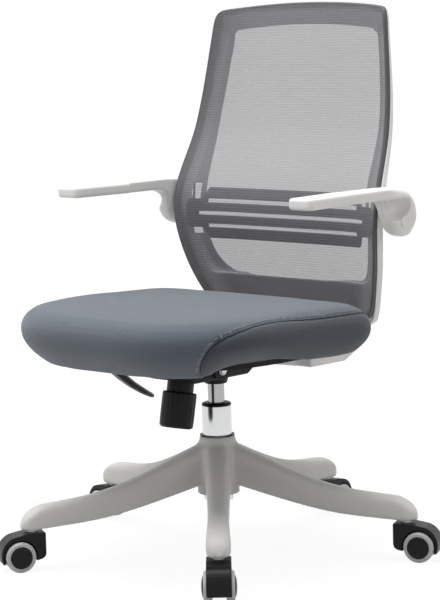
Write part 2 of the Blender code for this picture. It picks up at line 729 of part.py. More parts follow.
def make_wheel(chair, pivot, index, side_name, side):
    """Wheel with a tread, a domed cap and a blind bore, one flat of its tread facing down."""
    tread = WHEEL_RADIUS / math.cos(math.pi / WHEEL_STEPS)
    bore = AXLE_RADIUS + SEAT_GAP
    profile = [
        (0.0, WHEEL_WIDTH + WHEEL_CAP_RISE),
        (WHEEL_DOME_SHARE * WHEEL_CAP_RADIUS, WHEEL_WIDTH + WHEEL_DOME_RISE * WHEEL_CAP_RISE),
        (WHEEL_CAP_RADIUS, WHEEL_WIDTH),
        (tread - WHEEL_EDGE, WHEEL_WIDTH),
        (tread, WHEEL_WIDTH - WHEEL_EDGE),
        (tread, 0.0),
        (bore, 0.0),
        (bore, WHEEL_BORE_DEPTH),
        (0.0, WHEEL_BORE_DEPTH),
    ]
    wheel = turned(f"caster_{index}_wheel_{side_name}", profile, closed=False, steps=WHEEL_STEPS)
    chair.add(wheel, pivot, "wheel", WHEEL_GREY, local=True)
    place = Matrix.Translation((CASTER_TRAIL, side * WHEEL_INNER_FACE, WHEEL_RADIUS))
    stand_up = Matrix.Rotation(-side * math.pi / 2, 4, "X")
    wheel.matrix_basis = place @ stand_up @ Matrix.Rotation(math.pi / WHEEL_STEPS, 4, "Z")


def make_casters(chair):
    """Five twin-wheel casters, trailing outwards."""
    for index, azimuth in enumerate(leg_azimuths(), start=1):
        stem_axis = leg_turn(azimuth) @ Vector((LEG_REACH, 0, 0))
        pivot = chair.empty(f"caster_{index}_pivot", stem_axis, chair.root, (0, 0, azimuth - math.pi / 2))
        hood_top = make_hood(chair, pivot, index)
        make_stem(chair, pivot, index, hood_top)
        make_axle(chair, pivot, index)
        make_wheel(chair, pivot, index, "left", 1)
        make_wheel(chair, pivot, index, "right", -1)


# Gas lift


def tube_top_height():
    """Top of the pressure tube, set by the release pin that reaches up to the lever."""
    return LEVER_HEIGHT - LEVER_ROD_RADIUS - SEAT_GAP - RELEASE_PIN_RISE


def make_column(chair):
    """Outer tube of the gas lift with a pierced floor, and the bush that guides the pressure tube."""
    inner = COLUMN_RADIUS - COLUMN_WALL
    rod_hole = PISTON_ROD_RADIUS + RUNNING_GAP
    floor = COLUMN_FOOT_HEIGHT + COLUMN_FLOOR
    profile = [
        (COLUMN_RADIUS, COLUMN_TOP_HEIGHT),
        (COLUMN_RADIUS, COLUMN_FOOT_HEIGHT),
        (rod_hole, COLUMN_FOOT_HEIGHT),
        (rod_hole, floor),
        (inner, floor),
        (inner, COLUMN_TOP_HEIGHT),
    ]
    chair.add(turned("gas_column_tube", profile, closed=True), chair.root, "chrome", CHROME)
    bore = PRESSURE_TUBE_RADIUS + RUNNING_GAP
    collar_low = COLUMN_TOP_HEIGHT + SEAT_GAP
    collar_high = collar_low + COLLAR_THICKNESS
    profile = [
        (COLUMN_RADIUS - COLLAR_EDGE, collar_high),
        (COLUMN_RADIUS, collar_high - COLLAR_EDGE),
        (COLUMN_RADIUS, collar_low),
        (inner - SEAT_GAP, collar_low),
        (inner - SEAT_GAP, COLUMN_TOP_HEIGHT - BUSH_LENGTH),
        (bore, COLUMN_TOP_HEIGHT - BUSH_LENGTH),
        (bore, collar_high),
    ]
    chair.add(turned("gas_column_bush", profile, closed=True), chair.root, "plastic", BLACK_PLASTIC)


def make_spindle(chair, swivel):
    """Piston rod with its head, standing on a thrust bearing and held under the floor by a clip."""
    floor = COLUMN_FOOT_HEIGHT + COLUMN_FLOOR
    hole = PISTON_ROD_RADIUS + SEAT_GAP
    bearing = [
        (BEARING_RADIUS, floor + SEAT_GAP + BEARING_THICKNESS),
        (BEARING_RADIUS, floor + SEAT_GAP),
        (hole, floor + SEAT_GAP),
        (hole, floor + SEAT_GAP + BEARING_THICKNESS),
    ]
    chair.add(turned("thrust_bearing", bearing, closed=True), swivel, "steel", BRIGHT_STEEL)
    clip_top = COLUMN_FOOT_HEIGHT - SEAT_GAP
    clip = [
        (ROD_CLIP_RADIUS, clip_top),
        (ROD_CLIP_RADIUS, clip_top - ROD_CLIP_THICKNESS),
        (hole, clip_top - ROD_CLIP_THICKNESS),
        (hole, clip_top),
    ]
    chair.add(turned("piston_rod_clip", clip, closed=True, steps=SMALL_STEPS), swivel, "steel", BRIGHT_STEEL)
    head = PRESSURE_TUBE_RADIUS - PRESSURE_TUBE_WALL - RUNNING_GAP
    end = clip_top - 2 * ROD_CLIP_THICKNESS
    profile = [
        (0.0, PISTON_ROD_TOP),
        (head, PISTON_ROD_TOP),
        (head, PISTON_ROD_TOP - PISTON_HEAD_LENGTH),
        (PISTON_ROD_RADIUS, PISTON_ROD_TOP - PISTON_HEAD_LENGTH),
        (PISTON_ROD_RADIUS, end),
        (0.0, end),
    ]
    piston = turned("gas_piston_rod", profile, closed=False, steps=SMALL_STEPS)
    chair.add(piston, swivel, "steel", BRIGHT_STEEL)


def make_pressure_tube(chair, lift):
    """Pressure tube that rises with the seat, and the pin on its top that frees the gas."""
    top = tube_top_height()
    bottom = COLUMN_FOOT_HEIGHT + COLUMN_FLOOR + PRESSURE_TUBE_FOOT_CLEARANCE
    bore = PRESSURE_TUBE_RADIUS - PRESSURE_TUBE_WALL
    rod_hole = PISTON_ROD_RADIUS + RUNNING_GAP
    pin_hole = RELEASE_PIN_RADIUS + RUNNING_GAP
    profile = [
        (PRESSURE_TUBE_RADIUS, top),
        (PRESSURE_TUBE_RADIUS, bottom),
        (rod_hole, bottom),
        (rod_hole, bottom + TUBE_END_THICKNESS),
        (bore, bottom + TUBE_END_THICKNESS),
        (bore, top - TUBE_END_THICKNESS),
        (pin_hole, top - TUBE_END_THICKNESS),
        (pin_hole, top),
    ]
    chair.add(turned("gas_pressure_tube", profile, closed=True), lift, "chrome", CHROME)
    pin_top = top + RELEASE_PIN_RISE
    pin = rod("gas_release_pin", (0, 0, pin_top - RELEASE_PIN_LENGTH), (0, 0, pin_top), RELEASE_PIN_RADIUS)
    chair.add(pin, lift, "steel", BRIGHT_STEEL)


# Tilt mechanism


def lever_place(x):
    """A point on the straight part of the lever rod, which passes over the release pin."""
    return Vector((x, -LEVER_SWEEP * x, LEVER_HEIGHT))


def lever_pivot_place():
    """Where the lever rod passes the middle of the housing's side wall."""
    return lever_place(HOUSING_WALL / 2 - HOUSING_HALF_WIDTH)


def tension_matrix():
    """The frame of the tension spring: its Z axis leans forward at the bottom."""
    foot = Vector((0, TENSION_FOOT_SETBACK, TENSION_FOOT_HEIGHT))
    return Matrix.Translation(foot) @ Matrix.Rotation(-TENSION_LEAN, 4, "X")


def housing_outline(wall, top_margin):
    """Side view of the housing, or of its hollow when a wall is given."""
    top = SEAT_PLATE_HEIGHT - SEAT_GAP + top_margin
    low = HOUSING_BOTTOM_HEIGHT + wall
    front, rear = HOUSING_FRONT + wall, HOUSING_REAR - wall
    slope_start = TILT_AXLE_SETBACK - FLANGE_EAR_RADIUS
    return [
        (front, top),
        (slope_start, top),
        (rear, HOUSING_REAR_TOP + top_margin),
        (rear, low + HOUSING_CHAMFER),
        (rear - HOUSING_REAR_CHAMFER, low),
        (front + HOUSING_CHAMFER, low),
        (front, low + HOUSING_CHAMFER),
    ]


def make_housing(chair, lift):
    """Pressed steel tray with the socket for the gas lift and holes for the axle, spring and lever."""
    half = HOUSING_HALF_WIDTH
    housing = side_plate("mechanism_housing", housing_outline(0.0, 0.0), -half, half)
    bevel(housing, HOUSING_EDGE, segments=1)
    inner = half - HOUSING_WALL
    hollow = side_plate("housing_hollow", housing_outline(HOUSING_WALL, CUT_MARGIN * 2), -inner, inner)
    chair.boolean(housing, hollow, "DIFFERENCE")
    socket_top = HOUSING_BOTTOM_HEIGHT + HOUSING_WALL - SEAT_GAP
    low, high = (0, 0, SOCKET_BOTTOM_HEIGHT), (0, 0, socket_top)
    socket = rod("lift_socket", low, high, SOCKET_BOTTOM_RADIUS, ROUND_STEPS, SOCKET_TOP_RADIUS)
    chair.boolean(housing, socket, "UNION")
    bore = PRESSURE_TUBE_RADIUS + SEAT_GAP
    low, high = (0, 0, SOCKET_BOTTOM_HEIGHT - CUT_MARGIN), (0, 0, socket_top + CUT_MARGIN)
    chair.boolean(housing, rod("lift_bore", low, high, bore, ROUND_STEPS), "DIFFERENCE")
    axle = Vector((0, TILT_AXLE_SETBACK, TILT_AXLE_HEIGHT))
    reach = (half + CUT_MARGIN) * X_AXIS
    axle_bore = rod("axle_bore", axle - reach, axle + reach, TILT_AXLE_RADIUS + SEAT_GAP)
    chair.boolean(housing, axle_bore, "DIFFERENCE")
    frame = tension_matrix()
    start = frame @ Vector((0, 0, KNOB_LENGTH + CUT_MARGIN))
    end = frame @ Vector((0, 0, sleeve_top() + CUT_MARGIN))
    sleeve_hole = rod("sleeve_hole", start, end, SLEEVE_RADIUS + SEAT_GAP, ROUND_STEPS)
    chair.boolean(housing, sleeve_hole, "DIFFERENCE")
    along = (lever_place(-1) - lever_place(0)).normalized()
    pivot = lever_pivot_place()
    reach = LEVER_BUSH_LENGTH * along
    lever_hole = rod("lever_hole", pivot - reach, pivot + reach, LEVER_BUSH_RADIUS + LEVER_BUSH_GAP)
    chair.boolean(housing, lever_hole, "DIFFERENCE")
    chair.add(housing, lift, "steel", BLACK_STEEL)


def flange_faces():
    """Inner and outer x of the seat plate's side flanges."""
    inner = HOUSING_HALF_WIDTH + FLANGE_GAP
    return inner, inner + FLANGE_THICKNESS


def make_tilt_axle(chair, lift):
    """Axle across the housing and the seat plate's flanges, with a ring clip at each end."""
    outer = flange_faces()[1]
    clip_inner = outer + RUNNING_GAP
    clip_outer = clip_inner + AXLE_CLIP_THICKNESS
    centre = Vector((0, TILT_AXLE_SETBACK, TILT_AXLE_HEIGHT))
    reach = (clip_outer + AXLE_END) * X_AXIS
    axle = rod("tilt_axle", centre - reach, centre + reach, TILT_AXLE_RADIUS, ROUND_STEPS)
    chair.add(axle, lift, "steel", BRIGHT_STEEL)
    hole = TILT_AXLE_RADIUS + SEAT_GAP
    ring = [
        (AXLE_CLIP_RADIUS, AXLE_CLIP_THICKNESS / 2),
        (AXLE_CLIP_RADIUS, -AXLE_CLIP_THICKNESS / 2),
        (hole, -AXLE_CLIP_THICKNESS / 2),
        (hole, AXLE_CLIP_THICKNESS / 2),
    ]
    for name, side in (("left", 1), ("right", -1)):
        clip = turned(f"tilt_axle_clip_{name}", ring, closed=True)
        chair.add(clip, lift, "plastic", WHITE_PLASTIC)
        place = Matrix.Translation(centre + side * (clip_inner + clip_outer) / 2 * X_AXIS)
        clip.matrix_basis = place @ Matrix.Rotation(math.pi / 2, 4, "Y")


def make_seat_plate(chair, tilt):
    """Plate that tilts on the axle: two ears hang from it, and two rear cheeks behind the lever."""
    low, high = SEAT_PLATE_HEIGHT, SEAT_PLATE_HEIGHT + SEAT_PLATE_THICKNESS
    half = SEAT_PLATE_HALF_WIDTH
    top = box("seat_plate", (-half, SEAT_PLATE_FRONT, low), (half, SEAT_PLATE_REAR, high))
    inner, outer = flange_faces()
    axle = (TILT_AXLE_SETBACK, TILT_AXLE_HEIGHT)
    joint = low + SEAT_PLATE_THICKNESS / 2
    radius = FLANGE_EAR_RADIUS
    ear = [(axle[0] - radius, joint)] + arc(axle, radius, 180, 360, 9) + [(axle[0] + radius, joint)]
    pivot = lever_pivot_place()
    cheek_front = pivot.y + LEVER_BUSH_RADIUS + LEVER_NOTCH
    cheek_rear = BRACKET_TONGUE_FRONT - RUNNING_GAP
    cheek = [
        (cheek_front, joint),
        (cheek_front, low - FLANGE_REAR_DROP),
        (cheek_rear, low - FLANGE_REAR_DROP / 2),
        (cheek_rear, joint),
    ]
    for name, side in (("left", 1), ("right", -1)):
        for what, outline in (("ear", ear), ("cheek", cheek)):
            flange = side_plate(f"plate_{what}_{name}", outline, side * inner, side * outer)
            chair.boolean(top, flange, "UNION")
    centre = Vector((0, *axle))
    reach = (outer + CUT_MARGIN) * X_AXIS
    bore = rod("ear_bore", centre - reach, centre + reach, TILT_AXLE_RADIUS + RUNNING_GAP, ROUND_STEPS)
    chair.boolean(top, bore, "DIFFERENCE")
    chair.add(top, tilt, "steel", BLACK_STEEL)


def sleeve_top():
    """Top of the spring sleeve along the tension axis."""
    return KNOB_LENGTH - SLEEVE_ENGAGEMENT + SLEEVE_LENGTH


def spring_points(low, high):
    """Centre line of the tension spring: a plain helix between its two seats."""
    steps = SPRING_TURNS * 9
    turn = np.linspace(0.0, SPRING_TURNS * math.tau, steps + 1)
    rise = np.linspace(low + SPRING_WIRE_RADIUS + SEAT_GAP, high - SPRING_WIRE_RADIUS - SEAT_GAP, steps + 1)
    return np.column_stack([SPRING_RADIUS * np.cos(turn), SPRING_RADIUS * np.sin(turn), rise])


def make_tension_set(chair, lift):
    """Knob, bolt, sleeve, spring and spring seat, all along the leaning tension axis."""
    foot = (0, TENSION_FOOT_SETBACK, TENSION_FOOT_HEIGHT)
    axis = chair.empty("tension_axis", foot, lift, (-TENSION_LEAN, 0, 0))
    axis.matrix_parent_inverse = lift.matrix_world.inverted()
    bpy.context.view_layer.update()
    top = sleeve_top()
    bolt_hole = TENSION_BOLT_RADIUS + SEAT_GAP
    blind = KNOB_FLOOR - BOLT_DEPTH_IN_KNOB
    inner = KNOB_RADIUS - KNOB_WALL
    lip = SLEEVE_RADIUS + RUNNING_GAP
    knob = [
        (0.0, blind),
        (bolt_hole, blind),
        (bolt_hole, KNOB_FLOOR),
        (inner, KNOB_FLOOR),
        (inner, KNOB_LENGTH - KNOB_WALL),
        (lip, KNOB_LENGTH - KNOB_WALL),
        (lip, KNOB_LENGTH),
        (KNOB_RADIUS - KNOB_EDGE, KNOB_LENGTH),
        (KNOB_RADIUS, KNOB_LENGTH - KNOB_EDGE),
        (KNOB_RADIUS, 2 * KNOB_EDGE),
        (KNOB_RADIUS - 2 * KNOB_EDGE, 0.0),
        (0.0, 0.0),
    ]
    chair.add(turned("tension_knob", knob, closed=False), axis, "plastic", BLACK_PLASTIC, local=True)
    sleeve_low = KNOB_LENGTH - SLEEVE_ENGAGEMENT
    cap = top - SLEEVE_WALL
    sleeve = [
        (SLEEVE_RADIUS, top),
        (SLEEVE_RADIUS, sleeve_low),
        (SLEEVE_RADIUS - SLEEVE_WALL, sleeve_low),
        (SLEEVE_RADIUS - SLEEVE_WALL, cap),
        (bolt_hole, cap),
        (bolt_hole, top),
    ]
    chair.add(turned("spring_sleeve", sleeve, closed=True), axis, "plastic", BLACK_PLASTIC, local=True)
    head_low = top + SEAT_GAP
    bolt = [
        (0.0, head_low + TENSION_BOLT_HEAD_LENGTH),
        (TENSION_BOLT_HEAD_RADIUS, head_low + TENSION_BOLT_HEAD_LENGTH),
        (TENSION_BOLT_HEAD_RADIUS, head_low),
        (TENSION_BOLT_RADIUS, head_low),
        (TENSION_BOLT_RADIUS, blind + SEAT_GAP),
        (0.0, blind + SEAT_GAP),
    ]
    bolt = turned("tension_bolt", bolt, closed=False, steps=SMALL_STEPS)
    chair.add(bolt, axis, "steel", BRIGHT_STEEL, local=True)
    seat_high = SPRING_SEAT_HEIGHT + SPRING_SEAT_THICKNESS
    seat_radius = SPRING_RADIUS + SPRING_WIRE_RADIUS
    seat = [
        (seat_radius, seat_high),
        (seat_radius, SPRING_SEAT_HEIGHT),
        (bolt_hole, SPRING_SEAT_HEIGHT),
        (bolt_hole, seat_high),
    ]
    seat = turned("spring_seat", seat, closed=True, steps=SMALL_STEPS)
    chair.add(seat, axis, "steel", BRIGHT_STEEL, local=True)
    spring = wire("tension_spring", spring_points(seat_high, cap), SPRING_WIRE_RADIUS, 1)
    chair.add(spring, axis, "steel", BRIGHT_STEEL, local=True)


def lever_points():
    """Route of the lever rod: straight through its bush, then a bend forward to the paddle."""
    start = lever_place(LEVER_INNER_END)
    bend = lever_place(LEVER_STRAIGHT_END)
    pull = lever_place(LEVER_BEND_PULL * LEVER_STRAIGHT_END)
    curve = [
        bend * (1 - t) ** 2 + pull * (2 * t * (1 - t)) + LEVER_ROD_END * t**2
        for t in np.linspace(0.0, 1.0, 9)
    ]
    return [start] + curve


def paddle_rings():
    """Rings of the paddle: a flat blade that narrows to a round tip and sags between its ends."""
    rings = []
    run = PADDLE_TIP - PADDLE_ROOT
    across = X_AXIS
    up = run.cross(across).normalized()
    up = up if up.z > 0 else -up
    edge, flat = PADDLE_EDGE_SHARE, PADDLE_FLAT_SHARE
    upper = [(1, edge), (flat, 1), (-flat, 1), (-1, edge)]
    corners = upper + [(-u, -v) for u, v in upper]
    for t in PADDLE_STATIONS:
        past_round = max(0.0, t - PADDLE_ROUND_START) / (PADDLE_ROUND_END - PADDLE_ROUND_START)
        blunt = math.sqrt(1.0 - past_round**2)
        heel = PADDLE_HEEL_SHARE if t == 0.0 else 1.0
        half = PADDLE_WIDTH / 2 * (1.0 - PADDLE_WIDTH_TAPER * t) * blunt * heel
        thick = PADDLE_THICKNESS / 2 * (1.0 - PADDLE_THICKNESS_TAPER * t) * (1.0 + blunt) / 2 * heel
        centre = PADDLE_ROOT + run * t - up * (PADDLE_DROOP * 4 * t * (1 - t))
        rings.append([centre + across * (half * u) + up * (thick * v) for u, v in corners])
    return rings


def make_lever(chair, lift):
    """Bush in the housing wall, the rod through it and the paddle on the rod's end."""
    pivot_place = lever_pivot_place()
    pivot = chair.empty("lever_pivot", pivot_place, lift)
    pivot.matrix_parent_inverse = lift.matrix_world.inverted()
    bpy.context.view_layer.update()
    along = (lever_place(-1) - lever_place(0)).normalized()
    reach = along * LEVER_BUSH_LENGTH / 2
    bush = rod("lever_bush", pivot_place - reach, pivot_place + reach, LEVER_BUSH_RADIUS)
    bore = rod("bush_bore", pivot_place - 2 * reach, pivot_place + 2 * reach, LEVER_ROD_RADIUS + SEAT_GAP)
    chair.boolean(bush, bore, "DIFFERENCE")
    chair.add(bush, pivot, "plastic", BLACK_PLASTIC)
    points = lever_points()
    lever = wire("lever_rod", points, LEVER_ROD_RADIUS)
    chair.add(lever, pivot, "steel", BLACK_STEEL)
    paddle = loft("lever_paddle", paddle_rings())
    end_direction = (points[-1] - points[-2]).normalized()
    boss_start = points[-1] - end_direction * PADDLE_BOSS_LENGTH
    boss_end = points[-1] + end_direction * PADDLE_BOSS_LENGTH
    boss = rod("paddle_boss", boss_start, boss_end, LEVER_ROD_RADIUS + PADDLE_BOSS_WALL)
    chair.boolean(paddle, boss, "UNION")
    socket_end = points[-1] + end_direction * SEAT_GAP
    socket_start = boss_start - end_direction * CUT_MARGIN
    socket = wire("paddle_socket", [socket_start, socket_end], LEVER_ROD_RADIUS + SEAT_GAP)
    chair.boolean(paddle, socket, "DIFFERENCE")
    chair.add(paddle, pivot, "plastic", BLACK_PLASTIC)


# Seat


def seat_outline(inset, scale=1.0):
    """Plan of the seat as an (n, 2) array: two half superellipses that meet at the widest line."""
    turn = np.arange(SEAT_STEPS) * math.tau / SEAT_STEPS
    rear = np.sin(turn) > 0
    depth = np.where(rear, SEAT_REAR - SEAT_WIDEST_SETBACK, SEAT_WIDEST_SETBACK - SEAT_FRONT) - inset
    power = 2.0 / np.where(rear, SEAT_REAR_SQUARENESS, SEAT_FRONT_SQUARENESS)
    x = (SEAT_HALF_WIDTH - inset) * np.sign(np.cos(turn)) * np.abs(np.cos(turn)) ** power
    y = depth * np.sign(np.sin(turn)) * np.abs(np.sin(turn)) ** power
    return np.column_stack([x * scale, SEAT_WIDEST_SETBACK + y * scale])


def seat_top(plan):
    """Height of the seat's top: crowned across, and rolling down towards the front."""
    forward = np.clip((SEAT_WIDEST_SETBACK - plan[:, 1]) / (SEAT_WIDEST_SETBACK - SEAT_FRONT), 0.0, 1.0)
    across = plan[:, 0] / SEAT_HALF_WIDTH
    return SEAT_TOP_HEIGHT - SEAT_CROWN * across**2 - SEAT_WATERFALL * forward**3


def pan_bottom():
    """Underside of the seat pan, on the seat plate."""
    return SEAT_PLATE_HEIGHT + SEAT_PLATE_THICKNESS + SEAT_GAP


def seat_rings():
    """Rings of the cushion from the middle of its top, over the rolled edge, to the recess for the pan."""

    def ring(plan, height):
        return np.column_stack([plan, np.broadcast_to(height, len(plan))])

    ceiling = pan_bottom() + PAN_THICKNESS + SEAT_GAP
    rim = seat_outline(0.0)
    forward = (SEAT_REAR - rim[:, 1]) / (SEAT_REAR - SEAT_FRONT)
    hem = ceiling - SEAT_HEM_REAR_DROP - (SEAT_HEM_FRONT_DROP - SEAT_HEM_REAR_DROP) * forward**2
    middle = np.array([[0.0, SEAT_WIDEST_SETBACK]])
    rings = [ring(middle, seat_top(middle))]
    for scale in (0.30, 0.58, 0.80):
        plan = seat_outline(0.0, scale)
        rings.append(ring(plan, seat_top(plan)))
    for angle in (0, 30, 60, 90):
        roll = math.radians(angle)
        plan = seat_outline(SEAT_EDGE_RADIUS * (1 - math.sin(roll)))
        rings.append(ring(plan, seat_top(plan) - SEAT_EDGE_RADIUS * (1 - math.cos(roll))))
    shoulder = rings[-1][:, 2]
    seam = seat_outline(SEAT_SEAM_DEPTH)
    rings.append(ring(seam, shoulder - SEAT_SEAM_DEPTH))
    for share in (0.25, 0.6, 1.0):
        plan = seat_outline(SEAT_HEM_DRAW_IN * share**2)
        rings.append(ring(plan, shoulder + (hem - shoulder) * share))
    recess = seat_outline(PAN_INSET - SEAT_GAP)
    rings.append(ring(recess, hem))
    rings.append(ring(recess, ceiling))
    rings.append(ring(middle, ceiling))
    return rings


def make_seat(chair, tilt):
    """Upholstered cushion with a recess, and the pan that fills it."""
    chair.add(loft("seat_cushion", seat_rings()), tilt, "fabric", SEAT_FABRIC)
    height = pan_bottom() + PAN_THICKNESS / 2
    plan = seat_outline(PAN_INSET + SEAT_GAP)
    pan = plate("seat_pan", plan, PAN_THICKNESS, Matrix.Translation((0, 0, height)))
    chair.add(pan, tilt, "plastic", BLACK_PLASTIC)


# Back


def back_knots():
    """Heights at which the back's outline and setback are given."""
    low = BACK_BOTTOM_HEIGHT + BACK_LOW_FRACTION * (BACK_HIP_HEIGHT - BACK_BOTTOM_HEIGHT)
    high = BACK_HIP_HEIGHT + BACK_HIGH_FRACTION * (BACK_TOP_HEIGHT - BACK_HIP_HEIGHT)
    return np.array([BACK_BOTTOM_HEIGHT, low, BACK_HIP_HEIGHT, high, BACK_TOP_HEIGHT])


def back_half_width(height):
    """Half width of the back at a height."""
    widths = [
        BACK_BOTTOM_HALF_WIDTH,
        BACK_LOW_HALF_WIDTH,
        BACK_HIP_HALF_WIDTH,
        BACK_HIGH_HALF_WIDTH,
        BACK_TOP_HALF_WIDTH,
    ]
    return through(back_knots(), widths, height)


def back_setback(x, height):
    """Setback of the mesh surface: an S in side view, hollow across for the sitter's back."""
    setbacks = [
        BACK_BOTTOM_SETBACK,
        BACK_LOW_SETBACK,
        BACK_HIP_SETBACK,
        BACK_HIGH_SETBACK,
        BACK_TOP_SETBACK,
    ]
    edge = through(back_knots(), setbacks, height)
    share = np.clip(np.asarray(x) / back_half_width(height), -1.0, 1.0)
    return edge + BACK_HOLLOW * (1.0 - np.abs(share) ** BACK_HOLLOW_POWER)


def back_loop(side_inset, bottom_inset, top_inset):
    """Closed outline seen from the front, in (x, height), with rounded corners, densely sampled."""
    count = 60
    low = BACK_BOTTOM_HEIGHT + bottom_inset
    high = BACK_TOP_HEIGHT - top_inset
    side = np.linspace(low, high, 2 * count)
    width = back_half_width(side) - side_inset
    bottom = np.linspace(0.0, width[0], count, endpoint=False)
    top = np.linspace(width[-1], 0.0, count)[1:]
    arch = high + BACK_TOP_ARCH * (1.0 - (top / width[-1]) ** 2)
    right = np.concatenate(
        [
            np.column_stack([bottom, np.full(count, low)]),
            np.column_stack([width, side]),
            np.column_stack([top, arch]),
        ]
    )
    loop = np.concatenate([right, right[-2:0:-1] * (-1, 1)])
    spacing = np.linalg.norm(np.diff(loop, axis=0), axis=1).mean()
    reach = max(1, round(BACK_CORNER_ROUNDING / spacing))
    window = np.hanning(2 * reach + 1)
    window /= window.sum()
    padded = np.concatenate([loop[-reach:], loop, loop[:reach]])
    return np.column_stack([np.convolve(padded[:, axis], window, mode="valid") for axis in (0, 1)])


def back_widest():
    """Half width of the back where it is widest."""
    return float(back_loop(0.0, 0.0, 0.0)[:, 0].max())


def back_stations():
    """Indices into a dense back loop, closer together where the outline turns."""
    loop = back_loop(0.0, 0.0, 0.0)
    step = np.roll(loop, -1, axis=0) - loop
    heading = np.unwrap(np.arctan2(step[:, 1], step[:, 0]))
    turning = np.abs(np.diff(heading, append=heading[0] + math.tau * np.sign(heading[-1] - heading[0])))
    weight = np.linalg.norm(step, axis=1) + BACK_TURN_WEIGHT * turning
    along = np.concatenate([[0.0], np.cumsum(weight)])
    targets = np.linspace(0.0, along[-1], BACK_STATIONS, endpoint=False)
    return np.searchsorted(along, targets, side="right") - 1


def surface_points(outline, offset):
    """Points of an outline on the mesh surface, moved back by an offset."""
    setback = back_setback(outline[:, 0], outline[:, 1]) + offset
    return np.column_stack([outline[:, 0], setback, outline[:, 1]])


def mesh_frame_outlines():
    """Outer and inner outline of the mesh frame at the stations."""
    keep = back_stations()
    outer = back_loop(0.0, 0.0, 0.0)[keep]
    inner = back_loop(MESH_FRAME_SIDE_BAND, MESH_FRAME_BOTTOM_BAND, MESH_FRAME_TOP_BAND)[keep]
    return outer, inner


def shell_depth(height):
    """Depth of the white shell, deepest at the hips where the arms are held."""
    knots = [BACK_BOTTOM_HEIGHT, BACK_HIP_HEIGHT, BACK_TOP_HEIGHT]
    return through(knots, [SHELL_BOTTOM_DEPTH, SHELL_HIP_DEPTH, SHELL_TOP_DEPTH], height)


def guide_ends():
    """Low and high end of a guide wire on the +X side, and where each is rooted in the mesh frame."""
    behind = MESH_FRAME_EDGE + MESH_THICKNESS + LUMBAR_MESH_GAP
    heights = (GUIDE_LOW_HEIGHT, GUIDE_HIGH_HEIGHT)
    edges = [float(back_half_width(height)) - MESH_FRAME_SIDE_BAND for height in heights]
    x = min(edges) - GUIDE_INSET
    ends = []
    roots = []
    for height, edge in zip(heights, edges):
        root = edge + GUIDE_RADIUS
        ends.append(Vector((x, float(back_setback(x, height)) + behind + LUMBAR_EYE_RADIUS, height)))
        roots.append(Vector((root, float(back_setback(root, height)) + behind + GUIDE_RADIUS, height)))
    return ends, roots


def mirrored(point, side):
    """A point on the sitter's left, or its mirror image on the right."""
    return Vector((side * point[0], point[1], point[2]))


def shell_shares():
    """How far across the mesh frame's band the shell starts and ends, at each station."""
    outer, inner = mesh_frame_outlines()
    run = np.roll(outer, -1, axis=0) - np.roll(outer, 1, axis=0)
    level = (run[:, 0] / np.linalg.norm(run, axis=1)) ** 2
    low_half = outer[:, 1] < BACK_HIP_HEIGHT
    proud = SHELL_SIDE_PROUD + (np.where(low_half, SHELL_BOTTOM_PROUD, 0.0) - SHELL_SIDE_PROUD) * level
    band = SHELL_SIDE_BAND + (np.where(low_half, SHELL_BOTTOM_BAND, SHELL_TOP_BAND) - SHELL_SIDE_BAND) * level
    width = np.linalg.norm(inner - outer, axis=1)
    return -proud / width, (band - proud) / width


def frame_rear(share):
    """Points on the rear face of the mesh frame, at a share of its band from the outer edge."""
    outer, inner = mesh_frame_outlines()
    start, end = surface_points(outer, MESH_FRAME_DEPTH), surface_points(inner, MESH_FRAME_DEPTH)
    return start + (end - start) * share[:, None]


def shell_sections():
    """Sections of the shell, flat against the rear of the mesh frame at each station."""
    outer_share, inner_share = shell_shares()
    depth = shell_depth(mesh_frame_outlines()[0][:, 1])
    corners = [
        (outer_share, 0.0),
        (np.zeros_like(outer_share), 0.0),
        (inner_share, 0.0),
        (inner_share, depth),
        (outer_share, depth),
    ]
    section = []
    for share, back in corners:
        points = frame_rear(share)
        points[:, 1] += SEAT_GAP + back
        section.append(points)
    return np.stack(section, axis=1)


def make_mesh_frame(chair, tilt):
    """Grey frame that the mesh is stretched on, with a wire on each side that guides the lumbar support."""
    outer, inner = mesh_frame_outlines()
    across = inner - outer
    soft = across * (MESH_FRAME_EDGE / np.linalg.norm(across, axis=1, keepdims=True))
    section = [
        surface_points(outer, MESH_FRAME_EDGE),
        surface_points(outer + soft, 0.0),
        surface_points(inner - soft, 0.0),
        surface_points(inner, MESH_FRAME_EDGE),
        surface_points(inner, MESH_FRAME_DEPTH),
        frame_rear(shell_shares()[1]),
        surface_points(outer, MESH_FRAME_DEPTH),
    ]
    frame = loft("mesh_frame", np.stack(section, axis=1), closed=True)
    (low, high), (low_root, high_root) = guide_ends()
    bend = (high - low).normalized() * 2 * GUIDE_RADIUS
    for name, side in (("left", 1), ("right", -1)):
        route = [
            low_root,
            low + 2 * GUIDE_RADIUS * X_AXIS,
            low + bend,
            high - bend,
            high + 2 * GUIDE_RADIUS * X_AXIS,
            high_root,
        ]
        guide = wire(f"lumbar_guide_{name}", [mirrored(point, side) for point in route], GUIDE_RADIUS)
        chair.boolean(frame, guide, "UNION")
    chair.add(frame, tilt, "plastic", GREY_PLASTIC)


